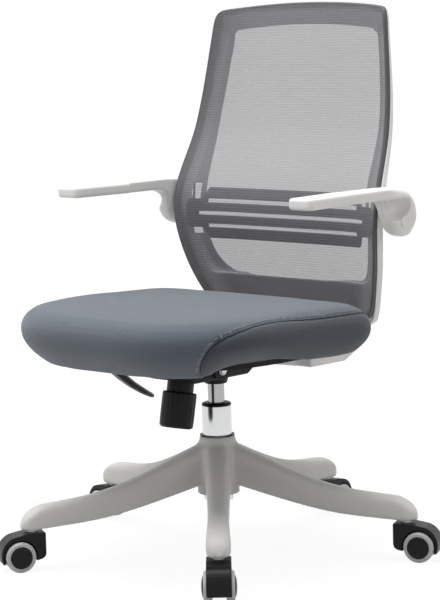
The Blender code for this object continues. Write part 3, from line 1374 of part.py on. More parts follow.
def make_mesh(chair, tilt):
    """Mesh panel inside the frame, as one thin sheet that follows the back's curve."""
    inner = mesh_frame_outlines()[1]
    middle = np.array([0.0, (BACK_BOTTOM_HEIGHT + BACK_TOP_HEIGHT) / 2])
    inward = middle - inner
    edge = inner + inward * (2 * SEAT_GAP / np.linalg.norm(inward, axis=1, keepdims=True))
    front = []
    for share in (0.0, 0.25, 0.5, 0.75, 1.0):
        plan = middle + (edge - middle) * share
        plan = plan[:1] if share == 0.0 else plan
        setback = back_setback(plan[:, 0], plan[:, 1]) + MESH_FRAME_EDGE
        front.append(np.column_stack([plan[:, 0], setback, plan[:, 1]]))
    rear = [ring + (0.0, MESH_THICKNESS, 0.0) for ring in reversed(front)]
    chair.add(loft("back_mesh", front + rear), tilt, "mesh", GREY_MESH)


def shell_back(height):
    """Setback of the rear face of the shell's bottom bar, on the chair's middle line."""
    low, high = BACK_BOTTOM_HEIGHT, BACK_BOTTOM_HEIGHT + MESH_FRAME_BOTTOM_BAND
    low_setback, high_setback = float(back_setback(0.0, low)), float(back_setback(0.0, high))
    share = (height - low) / (high - low)
    surface = low_setback + (high_setback - low_setback) * share
    return surface + MESH_FRAME_DEPTH + SEAT_GAP + SHELL_BOTTOM_DEPTH


def make_shell(chair, tilt):
    """White back frame behind the mesh frame, with a lug at each hip for the arm and holes for the bolts."""
    shell = loft("back_shell", shell_sections(), closed=True)
    pivot = Vector((0, ARM_PIVOT_SETBACK, ARM_PIVOT_HEIGHT))
    lug_outer = arm_inner_face() - SEAT_GAP
    lug_inner = lug_outer - LUG_LENGTH
    hole_inner = arm_inner_face() - ARM_PIN_DEPTH - SEAT_GAP
    for name, side in (("left", 1), ("right", -1)):
        inner_end, outer_end = pivot + side * lug_inner * X_AXIS, pivot + side * lug_outer * X_AXIS
        lug = rod(f"arm_lug_{name}", inner_end, outer_end, LUG_RADIUS, ROUND_STEPS)
        chair.boolean(shell, lug, "UNION")
        start = pivot + side * hole_inner * X_AXIS
        end = outer_end + side * CUT_MARGIN * X_AXIS
        chair.boolean(shell, rod(f"lug_hole_{name}", start, end, ARM_PIN_RADIUS + SEAT_GAP), "DIFFERENCE")
    for index, place in enumerate(bolt_places(), start=1):
        depth = BRACKET_THICKNESS + BOLT_DEPTH_IN_SHELL + SEAT_GAP
        hole = rod(f"shell_bolt_hole_{index}", place, place - bolt_axis() * depth, BOLT_RADIUS + SEAT_GAP)
        chair.boolean(shell, hole, "DIFFERENCE")
    chair.add(shell, tilt, "plastic", WHITE_PLASTIC)


def lumbar_surface(x, height, reach):
    """Setback of the lumbar band: on the guide wires at its ends, hollow like the mesh between them."""
    (low, high), _ = guide_ends()
    share = (height - low.z) / (high.z - low.z)
    guide = low.y + (high.y - low.y) * share
    hollow = back_setback(x, LUMBAR_HEIGHT) - back_setback(reach, LUMBAR_HEIGHT)
    return guide + hollow + LUMBAR_BULGE * (1.0 - (x / reach) ** 2)


def make_lumbar(chair, tilt):
    """Slotted band behind the mesh with an eye at each end that slides on its guide wire."""
    (low, high), _ = guide_ends()
    slide = chair.empty("lumbar_slide", (0, 0, 0), tilt)
    slide.matrix_parent_inverse = tilt.matrix_world.inverted()
    bpy.context.view_layer.update()
    reach = low.x
    columns = np.linspace(-reach, reach, 15)
    rows = 2 * LUMBAR_SLOT_COUNT + 2
    pitch = LUMBAR_BAND / (LUMBAR_SLOT_COUNT + 1)
    heights = [-LUMBAR_BAND / 2]
    for slot in range(LUMBAR_SLOT_COUNT):
        centre = -LUMBAR_BAND / 2 + (slot + 1) * pitch
        heights += [centre - LUMBAR_SLOT / 2, centre + LUMBAR_SLOT / 2]
    heights.append(LUMBAR_BAND / 2)
    bm = bmesh.new()
    grid = []
    for height in heights:
        past_start = (np.abs(columns) / reach - LUMBAR_TAPER_START) / (1.0 - LUMBAR_TAPER_START)
        taper = 1.0 - LUMBAR_END_TAPER * np.clip(past_start, 0.0, 1.0)
        z = LUMBAR_HEIGHT + height * taper
        y = lumbar_surface(columns, z, reach)
        grid.append([bm.verts.new(point) for point in zip(columns, y, z)])
    last = len(columns) - 1
    for row in range(rows - 1):
        solid_ends = 2 if row != rows // 2 - 1 else 1
        for column in range(last):
            in_slot = row % 2 == 1 and solid_ends <= column < last - solid_ends
            if not in_slot:
                low_row, high_row = grid[row], grid[row + 1]
                bm.faces.new([low_row[column], low_row[column + 1], high_row[column + 1], high_row[column]])
    band = mesh_object("lumbar_support", bm)
    solidify = band.modifiers.new("thickness", "SOLIDIFY")
    solidify.thickness = LUMBAR_THICKNESS
    solidify.offset = 0.0
    band = as_mesh(band)
    direction = (high - low).normalized()
    centre = low + direction * ((LUMBAR_HEIGHT - low.z) / direction.z)
    half = direction * LUMBAR_EYE_LENGTH / 2
    for name, side in (("left", 1), ("right", -1)):
        start, end = mirrored(centre - half, side), mirrored(centre + half, side)
        eye = rod(f"lumbar_eye_{name}", start, end, LUMBAR_EYE_RADIUS)
        chair.boolean(band, eye, "UNION")
    for name, side in (("left", 1), ("right", -1)):
        start, end = mirrored(centre - 2 * half, side), mirrored(centre + 2 * half, side)
        chair.boolean(band, rod(f"eye_bore_{name}", start, end, GUIDE_RADIUS + RUNNING_GAP), "DIFFERENCE")
    chair.add(band, slide, "plastic", GREY_PLASTIC)


# Bracket between the seat plate and the back


def riser_line():
    """Low and high point of the bracket's face against the shell, as (setback, height)."""
    low, high = BACK_BOTTOM_HEIGHT - SHELL_BOTTOM_PROUD, BRACKET_RISER_TOP
    return [(shell_back(height) + SEAT_GAP, height) for height in (low, high)]


def bolt_axis():
    """Direction that the bracket's riser faces, away from the sitter."""
    (y0, z0), (y1, z1) = riser_line()
    return Vector((0, z1 - z0, y0 - y1)).normalized()


def bolt_places():
    """Where the bolts meet the rear face of the riser."""
    (y0, z0), (y1, z1) = riser_line()
    face = Vector((0, (y0 + y1) / 2, (z0 + z1) / 2)) + bolt_axis() * BRACKET_THICKNESS
    return [face + offset * BOLT_SPACING * X_AXIS for offset in (-1, 0, 1)]


def bracket_outline(front, front_low):
    """Side view of the bracket: under the seat, then a bend up behind the back."""
    top = SEAT_PLATE_HEIGHT - SEAT_GAP
    (y0, z0), (y1, z1) = riser_line()
    axis = bolt_axis()
    thick = BRACKET_THICKNESS
    rear_low = y0 + axis.y * thick
    rear_high = (y1 + axis.y * thick, z1 + axis.z * thick)
    bend_radius = z0 - BRACKET_BLOCK_BOTTOM
    bend = arc((rear_low - bend_radius, z0), bend_radius, -75, 0, 6)
    inner_bend = arc((y0 - BRACKET_INNER_BEND, top + BRACKET_INNER_BEND), BRACKET_INNER_BEND, 0, -90, 4)
    under = [(front, top), (front, front_low), (BRACKET_BLOCK_FRONT, BRACKET_BLOCK_BOTTOM)]
    return under + bend + [rear_high, (y1, z1), (y0, z0)] + inner_bend


def make_bracket(chair, tilt):
    """White bracket: a tongue under the seat plate, a wider block and a riser behind the shell."""
    half = BRACKET_TONGUE_HALF_WIDTH
    outline = bracket_outline(BRACKET_TONGUE_FRONT, BRACKET_TONGUE_BOTTOM)
    bracket = side_plate("back_bracket", outline, -half, half)
    top = SEAT_PLATE_HEIGHT - SEAT_GAP
    low = BRACKET_BLOCK_BOTTOM
    rear = riser_line()[0][0] - BRACKET_INNER_BEND
    wing = [
        (BRACKET_BLOCK_FRONT, top),
        (BRACKET_BLOCK_FRONT, low),
        (rear - BRACKET_WING_SLOPE, low),
        (rear, low + BRACKET_WING_RISE),
        (rear, top),
    ]
    block = side_plate("bracket_block", wing, -BRACKET_BLOCK_HALF_WIDTH, BRACKET_BLOCK_HALF_WIDTH)
    chair.boolean(bracket, block, "UNION")
    bevel(bracket, BRACKET_EDGE, segments=2)
    for index, place in enumerate(bolt_places(), start=1):
        start = place + bolt_axis() * CUT_MARGIN
        end = place - bolt_axis() * (BRACKET_THICKNESS + CUT_MARGIN)
        chair.boolean(bracket, rod(f"bracket_hole_{index}", start, end, BOLT_RADIUS + SEAT_GAP), "DIFFERENCE")
    chair.add(bracket, tilt, "plastic", WHITE_PLASTIC)


def make_bolts(chair, tilt):
    """Three bolts that hold the shell to the bracket."""
    length = BRACKET_THICKNESS + BOLT_DEPTH_IN_SHELL
    profile = [
        (0.0, SEAT_GAP + BOLT_HEAD_THICKNESS),
        (BOLT_HEAD_RADIUS, SEAT_GAP + BOLT_HEAD_THICKNESS),
        (BOLT_HEAD_RADIUS, SEAT_GAP),
        (BOLT_RADIUS, SEAT_GAP),
        (BOLT_RADIUS, -length),
        (0.0, -length),
    ]
    turn = bolt_axis().to_track_quat("Z", "Y").to_matrix().to_4x4()
    for index, place in enumerate(bolt_places(), start=1):
        bolt = turned(f"back_bolt_{index}", profile, closed=False, steps=SMALL_STEPS)
        chair.add(bolt, tilt, "steel", BRIGHT_STEEL)
        bolt.matrix_basis = Matrix.Translation(place) @ turn


# Arms


def arm_inner_face():
    """Inner x of an arm beside the back, just clear of the shell."""
    return back_widest() + SHELL_SIDE_PROUD + ARM_GAP


def arm_side_outline():
    """Side view of an arm: a straight pad that runs into a round hub."""
    hub = (ARM_HUB_SETBACK, ARM_HUB_HEIGHT)
    low = ARM_TOP_HEIGHT - ARM_THICKNESS
    round_hub = arc(hub, ARM_HUB_RADIUS, 85, -155, 17)
    neck_end = ARM_HUB_SETBACK - ARM_HUB_RADIUS - ARM_NECK
    neck = (ARM_HUB_SETBACK - ARM_HUB_RADIUS - ARM_NECK / 4, low - ARM_NECK / 4)
    return [(ARM_TIP, low), (ARM_TIP, ARM_TOP_HEIGHT)] + round_hub + [neck, (neck_end, low)]


def arm_plan_outline(side):
    """Plan of an arm: round front corners, and a step outwards where the arm passes the back."""
    inner, outer = ARM_CENTRE - ARM_WIDTH / 2, ARM_CENTRE + ARM_WIDTH / 2
    rear = ARM_HUB_SETBACK + ARM_HUB_RADIUS + CUT_MARGIN
    corner = ARM_CORNER
    outline = arc((inner + ARM_SPLAY + corner, ARM_TIP + corner), corner, 180, 270, 5)
    outline += arc((outer + ARM_SPLAY - corner, ARM_TIP + corner), corner, 270, 360, 5)
    beside = arm_inner_face()
    step = ARM_STEP - ARM_STEP_RUN
    outline += [(outer, step), (outer, rear), (beside, rear), (beside, ARM_STEP), (inner, step)]
    return [(side * x, y) for x, y in outline]


def make_arm(chair, tilt, name, side):
    """Flip-up arm with a dished hub, and the capped pin that it turns on."""
    pivot_place = Vector((side * ARM_CENTRE, ARM_PIVOT_SETBACK, ARM_PIVOT_HEIGHT))
    pivot = chair.empty(f"arm_{name}_pivot", pivot_place, tilt)
    pivot.matrix_parent_inverse = tilt.matrix_world.inverted()
    bpy.context.view_layer.update()
    outer = ARM_CENTRE + ARM_WIDTH / 2
    inner = ARM_CENTRE - ARM_WIDTH / 2 - CUT_MARGIN
    wide = outer + ARM_SPLAY + CUT_MARGIN
    arm = side_plate(f"arm_{name}", arm_side_outline(), side * inner, side * wide)
    middle = (ARM_TOP_HEIGHT + ARM_HUB_HEIGHT - ARM_HUB_RADIUS) / 2
    tall = ARM_TOP_HEIGHT - ARM_HUB_HEIGHT + 3 * ARM_HUB_RADIUS
    plan = plate(f"arm_plan_{name}", arm_plan_outline(side), tall, Matrix.Translation((0, 0, middle)))
    chair.boolean(arm, plan, "INTERSECT")
    arm = as_mesh(arm)
    bevel(arm, ARM_EDGE, segments=2)
    ball_radius = (ARM_DISH_RADIUS**2 + ARM_DISH_DEPTH**2) / (2 * ARM_DISH_DEPTH)
    bm = bmesh.new()
    bmesh.ops.create_uvsphere(bm, u_segments=ROUND_STEPS, v_segments=SMALL_STEPS, radius=ball_radius)
    dish_centre = Vector((side * (outer + ball_radius - ARM_DISH_DEPTH), ARM_DISH_SETBACK, ARM_DISH_HEIGHT))
    bmesh.ops.translate(bm, vec=dish_centre, verts=bm.verts)
    chair.boolean(arm, mesh_object(f"arm_dish_{name}", bm), "DIFFERENCE")
    start = Vector((side * (outer + CUT_MARGIN), ARM_PIVOT_SETBACK, ARM_PIVOT_HEIGHT))
    end = Vector((side * inner, ARM_PIVOT_SETBACK, ARM_PIVOT_HEIGHT))
    chair.boolean(arm, rod(f"arm_bore_{name}", start, end, ARM_PIN_RADIUS + RUNNING_GAP), "DIFFERENCE")
    chair.add(arm, pivot, "plastic", WHITE_PLASTIC)
    cap_low = outer + SEAT_GAP
    profile = [
        (0.0, cap_low + ARM_PIN_CAP_THICKNESS),
        (ARM_PIN_CAP_RADIUS - ARM_PIN_CAP_THICKNESS / 2, cap_low + ARM_PIN_CAP_THICKNESS),
        (ARM_PIN_CAP_RADIUS, cap_low),
        (ARM_PIN_RADIUS, cap_low),
        (ARM_PIN_RADIUS, arm_inner_face() - ARM_PIN_DEPTH),
        (0.0, arm_inner_face() - ARM_PIN_DEPTH),
    ]
    pin = turned(f"arm_pin_{name}", profile, closed=False, steps=SMALL_STEPS)
    chair.add(pin, tilt, "plastic", WHITE_PLASTIC)
    place = Matrix.Translation((0, ARM_PIVOT_SETBACK, ARM_PIVOT_HEIGHT))
    pin.matrix_basis = place @ Matrix.Rotation(side * math.pi / 2, 4, "Y")


def centre_on_origin(chair):
    """Shift the whole chair so that the origin lies under the middle of its box, on the floor."""
    bpy.context.view_layer.update()
    graph = bpy.context.evaluated_depsgraph_get()
    lows, highs = [], []
    for obj in chair.parts.objects:
        if obj.type != "MESH":
            continue
        evaluated = obj.evaluated_get(graph)
        mesh = evaluated.to_mesh()
        points = np.empty(len(mesh.vertices) * 3)
        mesh.vertices.foreach_get("co", points)
        place = np.array(evaluated.matrix_world)
        world = points.reshape(-1, 3) @ place[:3, :3].T + place[:3, 3]
        lows.append(world.min(axis=0))
        highs.append(world.max(axis=0))
        evaluated.to_mesh_clear()
    middle = (np.min(lows, axis=0) + np.max(highs, axis=0)) / 2
    chair.root.location = (-middle[0], -middle[1], 0.0)
    for obj in chair.cutters.objects:
        if obj.parent is None:
            obj.parent = chair.root
    bpy.context.view_layer.update()


def main():
    """Build the chair from the floor up."""
    chair = Chair()
    make_star_base(chair)
    make_casters(chair)
    make_column(chair)
    swivel = chair.empty("swivel_axis", (0, 0, COLUMN_FOOT_HEIGHT), chair.root)
    make_spindle(chair, swivel)
    lift = chair.empty("lift_axis", (0, 0, SOCKET_BOTTOM_HEIGHT - COLUMN_FOOT_HEIGHT), swivel)
    make_pressure_tube(chair, lift)
    make_housing(chair, lift)
    make_tilt_axle(chair, lift)
    make_tension_set(chair, lift)
    make_lever(chair, lift)
    axle = (0, TILT_AXLE_SETBACK, TILT_AXLE_HEIGHT)
    tilt = chair.empty("tilt_axis", axle, lift)
    tilt.matrix_parent_inverse = lift.matrix_world.inverted()
    bpy.context.view_layer.update()
    make_seat_plate(chair, tilt)
    make_seat(chair, tilt)
    make_mesh_frame(chair, tilt)
    make_mesh(chair, tilt)
    make_shell(chair, tilt)
    make_lumbar(chair, tilt)
    make_bracket(chair, tilt)
    make_bolts(chair, tilt)
    make_arm(chair, tilt, "left", 1)
    make_arm(chair, tilt, "right", -1)
    centre_on_origin(chair)


if __name__ == "__main__":
    main()
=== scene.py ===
"""Looks of a swivel office chair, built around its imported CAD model.

Lengths are metres, +Z is up and the sitter faces -Y. Shapes are worked out about the swivel axis, then moved
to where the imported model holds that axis.
"""

from __future__ import annotations

import json
import logging
import math
from dataclasses import dataclass, field
from enum import Enum
from functools import cache

import bmesh
import bpy
import numpy as np
from mathutils import Matrix, Vector
from mathutils.bvhtree import BVHTree

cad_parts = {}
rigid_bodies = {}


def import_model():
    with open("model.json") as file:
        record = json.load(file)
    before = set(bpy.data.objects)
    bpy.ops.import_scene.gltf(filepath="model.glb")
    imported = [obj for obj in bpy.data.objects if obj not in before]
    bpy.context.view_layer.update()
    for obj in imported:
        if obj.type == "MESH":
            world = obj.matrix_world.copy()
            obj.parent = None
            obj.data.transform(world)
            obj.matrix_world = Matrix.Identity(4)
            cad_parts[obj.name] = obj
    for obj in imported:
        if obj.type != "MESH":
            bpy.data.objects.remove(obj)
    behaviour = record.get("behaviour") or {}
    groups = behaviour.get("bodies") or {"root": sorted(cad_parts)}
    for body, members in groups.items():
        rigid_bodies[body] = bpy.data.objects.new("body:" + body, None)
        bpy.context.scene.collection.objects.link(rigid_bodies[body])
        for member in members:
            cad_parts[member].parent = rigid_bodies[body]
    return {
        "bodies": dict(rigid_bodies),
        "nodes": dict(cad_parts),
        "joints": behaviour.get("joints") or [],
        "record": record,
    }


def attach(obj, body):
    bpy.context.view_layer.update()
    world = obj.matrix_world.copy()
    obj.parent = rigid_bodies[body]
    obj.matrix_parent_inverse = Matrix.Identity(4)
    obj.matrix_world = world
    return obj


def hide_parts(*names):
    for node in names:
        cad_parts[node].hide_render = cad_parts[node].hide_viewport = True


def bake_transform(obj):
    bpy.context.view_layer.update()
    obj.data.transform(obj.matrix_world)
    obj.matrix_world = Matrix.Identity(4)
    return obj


LOG = logging.getLogger("office_chair")
Array = np.ndarray
Colour = tuple[float, float, float]

CLEARANCE = 0.0003
ARM_PIVOT = (0.168, 0.548)

MID_GREY: Colour = (0.5, 0.5, 0.5)
PURE_WHITE: Colour = (1.0, 1.0, 1.0)

# Scales of the noises in cells per metre, and the knit's opacity and relief.
MOTTLE_SCALE = 14.0
GLOSS_SCALE = 90.0
FLECK_SCALE = 700.0
WEAR_SCALE = 9.0
THREAD_COVER = 0.76
RIB_COVER = 0.035
RIB_HEIGHT = 0.3


class Side(Enum):
    """A side of the chair as the sitter has it, with the sign of its x."""

    LEFT = 1
    RIGHT = -1

    @property
    def word(self) -> str:
        """The side's name as piece names use it."""
        return self.name.lower()


class Slot(Enum):
    """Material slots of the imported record."""

    WHITE = "white_plastic"
    BASE = "base_plastic"
    BLACK = "black_plastic"
    BLACK_STEEL = "black_steel"
    STEEL = "bright_steel"
    CHROME = "chrome"
    GREY = "grey_plastic"
    MESH = "grey_mesh"
    SEAT = "seat_fabric"
    WHEEL = "wheel_grey"


class Wiring:
    """Adds nodes to one node tree and joins them."""

    def __init__(self, tree: bpy.types.NodeTree) -> None:
        """Take the tree that the nodes go into."""
        self.tree = tree

    def feed(self, node: bpy.types.Node, values: dict) -> None:
        """Fill a node's inputs.

        Args:
            node: The node.
            values: Input socket to a number, a colour or an output socket to link.
        """
        for key, value in values.items():
            if isinstance(value, bpy.types.NodeSocket):
                self.tree.links.new(value, node.inputs[key])
            else:
                node.inputs[key].default_value = (*value, 1.0) if isinstance(value, tuple) else value

    def node(self, kind: str, values: dict | None = None, **settings: object) -> bpy.types.Node:
        """Add a node.

        Args:
            kind: Blender's name of the node's type.
            values: What its inputs are fed.
            settings: Properties of the node.

        Returns:
            The node.
        """
        made = self.tree.nodes.new(kind)
        for key, value in settings.items():
            setattr(made, key, value)
        self.feed(made, values or {})
        return made

    def math(self, operation: str, *values: object) -> bpy.types.NodeSocket:
        """Add a Math node for an operation on numbers or sockets, and return its output."""
        return self.node("ShaderNodeMath", dict(enumerate(values)), operation=operation).outputs[0]

    def blend(self, share: object, low: object, high: object, mode: str = "MIX") -> bpy.types.NodeSocket:
        """Mix a share of a second colour into a first one, and return the mixed colour."""
        made = self.node("ShaderNodeMix", {0: share, 6: low, 7: high}, data_type="RGBA", blend_type=mode)
        return made.outputs[2]

    def place(self) -> bpy.types.NodeSocket:
        """Return the object coordinates."""
        return self.node("ShaderNodeTexCoord").outputs["Object"]

    def noise(self, place: bpy.types.NodeSocket, scale: object, detail: float) -> bpy.types.NodeSocket:
        """Return a noise at a place."""
        return self.node("ShaderNodeTexNoise", {"Vector": place, "Scale": scale, "Detail": detail}).outputs[0]

    def vary(self, noise: bpy.types.NodeSocket, amount: object, middle: object) -> bpy.types.NodeSocket:
        """Return a middle value that a noise moves up and down by half of an amount."""
        return self.math("MULTIPLY_ADD", self.math("SUBTRACT", noise, 0.5), amount, middle)

    def grey(self, level: bpy.types.NodeSocket) -> bpy.types.NodeSocket:
        """Return a grey of a level."""
        return self.node("ShaderNodeCombineXYZ", {0: level, 1: level, 2: level}).outputs[0]

    def attribute(self, name: str) -> bpy.types.NodeSocket:
        """Return a mesh attribute."""
        return self.node("ShaderNodeAttribute", attribute_name=name).outputs["Fac"]

    def seen(self) -> bpy.types.NodeSocket:
        """Return one for rays that show a surface to the camera, directly or in a reflection."""
        path = self.node("ShaderNodeLightPath").outputs
        direct = self.math("MAXIMUM", path["Is Camera Ray"], path["Is Glossy Ray"])
        return self.math("MAXIMUM", direct, path["Is Transmission Ray"])


def new_group(name: str, inputs: dict[str, float | Colour], outputs: dict[str, str]) -> bpy.types.NodeTree:
    """Make an empty shader node group.

    Args:
        name: Its name.
        inputs: Input names with their default values; a tuple is a colour.
        outputs: Output names with "Float" or "Color".

    Returns:
        The group's tree, with its Group Input and Group Output nodes.
    """
    tree = bpy.data.node_groups.new(name, "ShaderNodeTree")
    for label, value in inputs.items():
        kind = "NodeSocketColor" if isinstance(value, tuple) else "NodeSocketFloat"
        socket = tree.interface.new_socket(label, in_out="INPUT", socket_type=kind)
        socket.default_value = (*value, 1.0) if isinstance(value, tuple) else value
    for label, kind in outputs.items():
        tree.interface.new_socket(label, in_out="OUTPUT", socket_type=f"NodeSocket{kind}")
    tree.nodes.new("NodeGroupInput")
    tree.nodes.new("NodeGroupOutput")
    return tree


@cache
def moulded_group() -> bpy.types.NodeTree:
    """Shared surface of moulded and painted pieces: slow mottling, uneven gloss and a fine grain."""
    tree = new_group(
        "moulded_surface",
        {"Colour": MID_GREY, "Mottle": 0.06, "Roughness": 0.4, "Unevenness": 0.1, "Grain": 900.0},
        {"Colour": "Color", "Roughness": "Float", "Height": "Float"},
    )
    wire = Wiring(tree)
    given = tree.nodes["Group Input"].outputs
    place = wire.place()
    slow = wire.noise(place, MOTTLE_SCALE, 3.0)
    middle = wire.noise(place, GLOSS_SCALE, 4.0)
    grain = wire.noise(place, given["Grain"], 2.0)
    speck = wire.vary(grain, given["Mottle"], wire.vary(slow, given["Mottle"], 1.0))
    colour = wire.blend(1.0, given["Colour"], wire.grey(speck), "MULTIPLY")
    gloss = wire.vary(middle, given["Unevenness"], given["Roughness"])
    wire.feed(tree.nodes["Group Output"], {"Colour": colour, "Roughness": gloss, "Height": grain})
    return tree


@cache
def cloth_group() -> bpy.types.NodeTree:
    """Shared weave of the upholstery: crossing threads along x, y and z, flecked with a second yarn."""
    tree = new_group(
        "cloth_weave",
        {"Yarn": MID_GREY, "Fleck": MID_GREY, "Threads": 900.0},
        {"Colour": "Color", "Roughness": "Float", "Height": "Float"},
    )
    wire = Wiring(tree)
    given = tree.nodes["Group Input"].outputs
    place = wire.place()
    turn = wire.math("MULTIPLY", given["Threads"], math.tau)
    parts = wire.node("ShaderNodeSeparateXYZ", {0: place}).outputs
    waves = [wire.math("SINE", wire.math("MULTIPLY", part, turn)) for part in parts]
    crossing = wire.math("MULTIPLY", waves[0], waves[1])
    upright = wire.math("MULTIPLY", waves[2], wire.math("ADD", waves[0], waves[1]))
    height = wire.math("MULTIPLY_ADD", wire.math("ADD", crossing, upright), 0.25, 0.5)
    mixed = wire.math("ADD", wire.noise(place, FLECK_SCALE, 3.0), wire.noise(place, WEAR_SCALE, 2.0))
    share = wire.math("MULTIPLY", mixed, wire.math("MULTIPLY_ADD", height, 0.5, 0.35))
    colour = wire.blend(wire.math("SUBTRACT", share, 0.25), given["Yarn"], given["Fleck"])
    rough = wire.math("MULTIPLY_ADD", height, -0.12, 0.92)
    wire.feed(tree.nodes["Group Output"], {"Colour": colour, "Roughness": rough, "Height": height})
    return tree


@cache
def knit_group() -> bpy.types.NodeTree:
    """Open knit of the back: a lattice of threads with faint ribs across, on the UV map in metres."""
    tree = new_group(
        "open_knit",
        {"Yarn": MID_GREY, "Rib": MID_GREY, "Rib Pitch": 0.0046, "Hole Pitch": 0.0015, "Cover": 0.3},
        {"Colour": "Color", "Alpha": "Float", "Height": "Float"},
    )
    wire = Wiring(tree)
    given = tree.nodes["Group Input"].outputs
    laid = wire.node("ShaderNodeUVMap", uv_map="cloth").outputs[0]
    flat = wire.node("ShaderNodeSeparateXYZ", {0: laid}).outputs
    waves = [
        wire.math("SINE", wire.math("MULTIPLY", wire.math("DIVIDE", flat[axis], given[pitch]), math.tau))
        for axis, pitch in ((0, "Hole Pitch"), (1, "Hole Pitch"), (1, "Rib Pitch"))
    ]
    ramp = {1: 0.0, 2: 0.5, 3: 0.0, 4: 1.0}
    bars = [wire.node("ShaderNodeMapRange", {0: wave, **ramp}).outputs[0] for wave in waves[:2]]
    lattice = wire.math("MAXIMUM", bars[0], bars[1])
    dense = wire.node("ShaderNodeMapRange", {0: lattice, 3: given["Cover"], 4: THREAD_COVER}).outputs[0]
    alpha = wire.math("MULTIPLY_ADD", waves[2], RIB_COVER, dense)
    height = wire.math("ADD", lattice, wire.math("MULTIPLY", waves[2], RIB_HEIGHT))
    colour = wire.blend(wire.math("MULTIPLY_ADD", waves[2], 0.5, 0.5), given["Yarn"], given["Rib"])
    wire.feed(tree.nodes["Group Output"], {"Colour": colour, "Alpha": alpha, "Height": height})
    return tree


def blank_material(name: str) -> tuple[bpy.types.Material, Wiring, bpy.types.Node]:
    """Make a material, and return it with the wiring of its tree and its Principled shader."""
    made = bpy.data.materials.new(name)
    made.use_nodes = True
    return made, Wiring(made.node_tree), made.node_tree.nodes["Principled BSDF"]


@dataclass(frozen=True)
class Finish:
    """A surface finish and the record's slot that it stands for. Colours are linear."""

    name: str
    slot: Slot

    def material(self) -> bpy.types.Material:
        """Return the finish's material, made on first use."""
        made = bpy.data.materials.get(self.name)
        if made is None:
            made, wire, shader = blank_material(self.name)
            wire.feed(shader, self.surface(wire))
        return made

    def surface(self, wire: Wiring) -> dict:
        """Return what the shader's inputs are fed; each kind of finish has its own."""
        raise NotImplementedError

    @staticmethod
    def textured(wire: Wiring, group: bpy.types.NodeTree, values: dict, relief: float) -> dict:
        """Add a shared group and a bump from its height.

        Args:
            wire: The material's wiring.
            group: The group.
            values: What the group's inputs are fed.
            relief: The bump's depth in metres.

        Returns:
            The group's outputs by name, with the bump as "Normal".
        """
        found = dict(wire.node("ShaderNodeGroup", values, node_tree=group).outputs.items())
        height = found.pop("Height")
        bump = wire.node("ShaderNodeBump", {"Height": height, "Distance": relief}).outputs[0]
        return {"Base Color": found.pop("Colour"), **found, "Normal": bump}


@dataclass(frozen=True)
class Moulded(Finish):
    """Finish of moulded plastic, paint or bare metal. Grain is in cells per metre."""

    colour: Colour
    roughness: float
    metallic: float = 0.0
    mottle: float = 0.06
    unevenness: float = 0.10
    grain: float = 900.0
    relief: float = 0.00004
    specular: float = 0.5

    def surface(self, wire: Wiring) -> dict:
        """Return what the shader's inputs are fed."""
        values = {
            "Colour": self.colour,
            "Mottle": self.mottle,
            "Roughness": self.roughness,
            "Unevenness": self.unevenness,
            "Grain": self.grain,
        }
        found = self.textured(wire, moulded_group(), values, self.relief)
        return {**found, "Metallic": self.metallic, "Specular IOR Level": self.specular}


@dataclass(frozen=True)
class Striped(Moulded):
    """Moulded finish of the mesh frame: its own tone on the rim, and paler under the mesh and in the channel.

    The paler tones are painted light: under the mesh a lighter grey offsets the mesh's shadow, and the
    channel holds a painted highlight. Two mesh attributes rise to one there; the first also carries painted
    shade.
    """

    under: Colour = MID_GREY
    pale: Colour = MID_GREY

    def surface(self, wire: Wiring) -> dict:
        """Return what the shader's inputs are fed."""
        found = super().surface(wire)
        # Painted light: a lighter grey where the mesh covers the frame, and a painted highlight in the
        # channel.
        under = wire.blend(wire.attribute("covered"), found["Base Color"], self.under)
        return {**found, "Base Color": wire.blend(wire.attribute("channel"), under, self.pale)}


@dataclass(frozen=True)
class Upholstery(Finish):
    """Finish of the seat's woven cover. Threads are per metre.

    A mesh attribute rises to one on the side panels, where a factor darkens the yarn as painted shade of the
    sides.
    """

    yarn: Colour
    fleck: Colour
    threads: float = 900.0
    relief: float = 0.00025
    panel: float = 0.52
    sheen: tuple[float, float] = (0.35, 0.5)
    specular: float = 0.25

    def surface(self, wire: Wiring) -> dict:
        """Return what the shader's inputs are fed."""
        values = {"Yarn": self.yarn, "Fleck": self.fleck, "Threads": self.threads}
        found = self.textured(wire, cloth_group(), values, self.relief)
        # Painted shade: a factor darkens the side panels' yarn.
        darker = (self.panel, self.panel, self.panel)
        found["Base Color"] = wire.blend(wire.attribute("panel"), found["Base Color"], darker, "MULTIPLY")
        sheen = {"Sheen Weight": self.sheen[0], "Sheen Roughness": self.sheen[1]}
        return {**found, **sheen, "Specular IOR Level": self.specular}


@dataclass(frozen=True)
class Knit(Finish):
    """Finish of the back's open mesh. Cover is how dense it is between its threads."""

    yarn: Colour
    rib: Colour
    cover: float
    rib_pitch: float = 0.0046
    hole_pitch: float = 0.0015
    relief: float = 0.0004
    roughness: float = 0.8
    specular: float = 0.2

    def surface(self, wire: Wiring) -> dict:
        """Return what the shader's inputs are fed."""
        pitches = {"Rib Pitch": self.rib_pitch, "Hole Pitch": self.hole_pitch}
        values = {"Yarn": self.yarn, "Rib": self.rib, "Cover": self.cover, **pitches}
        found = self.textured(wire, knit_group(), values, self.relief)
        return {**found, "Roughness": self.roughness, "Specular IOR Level": self.specular}


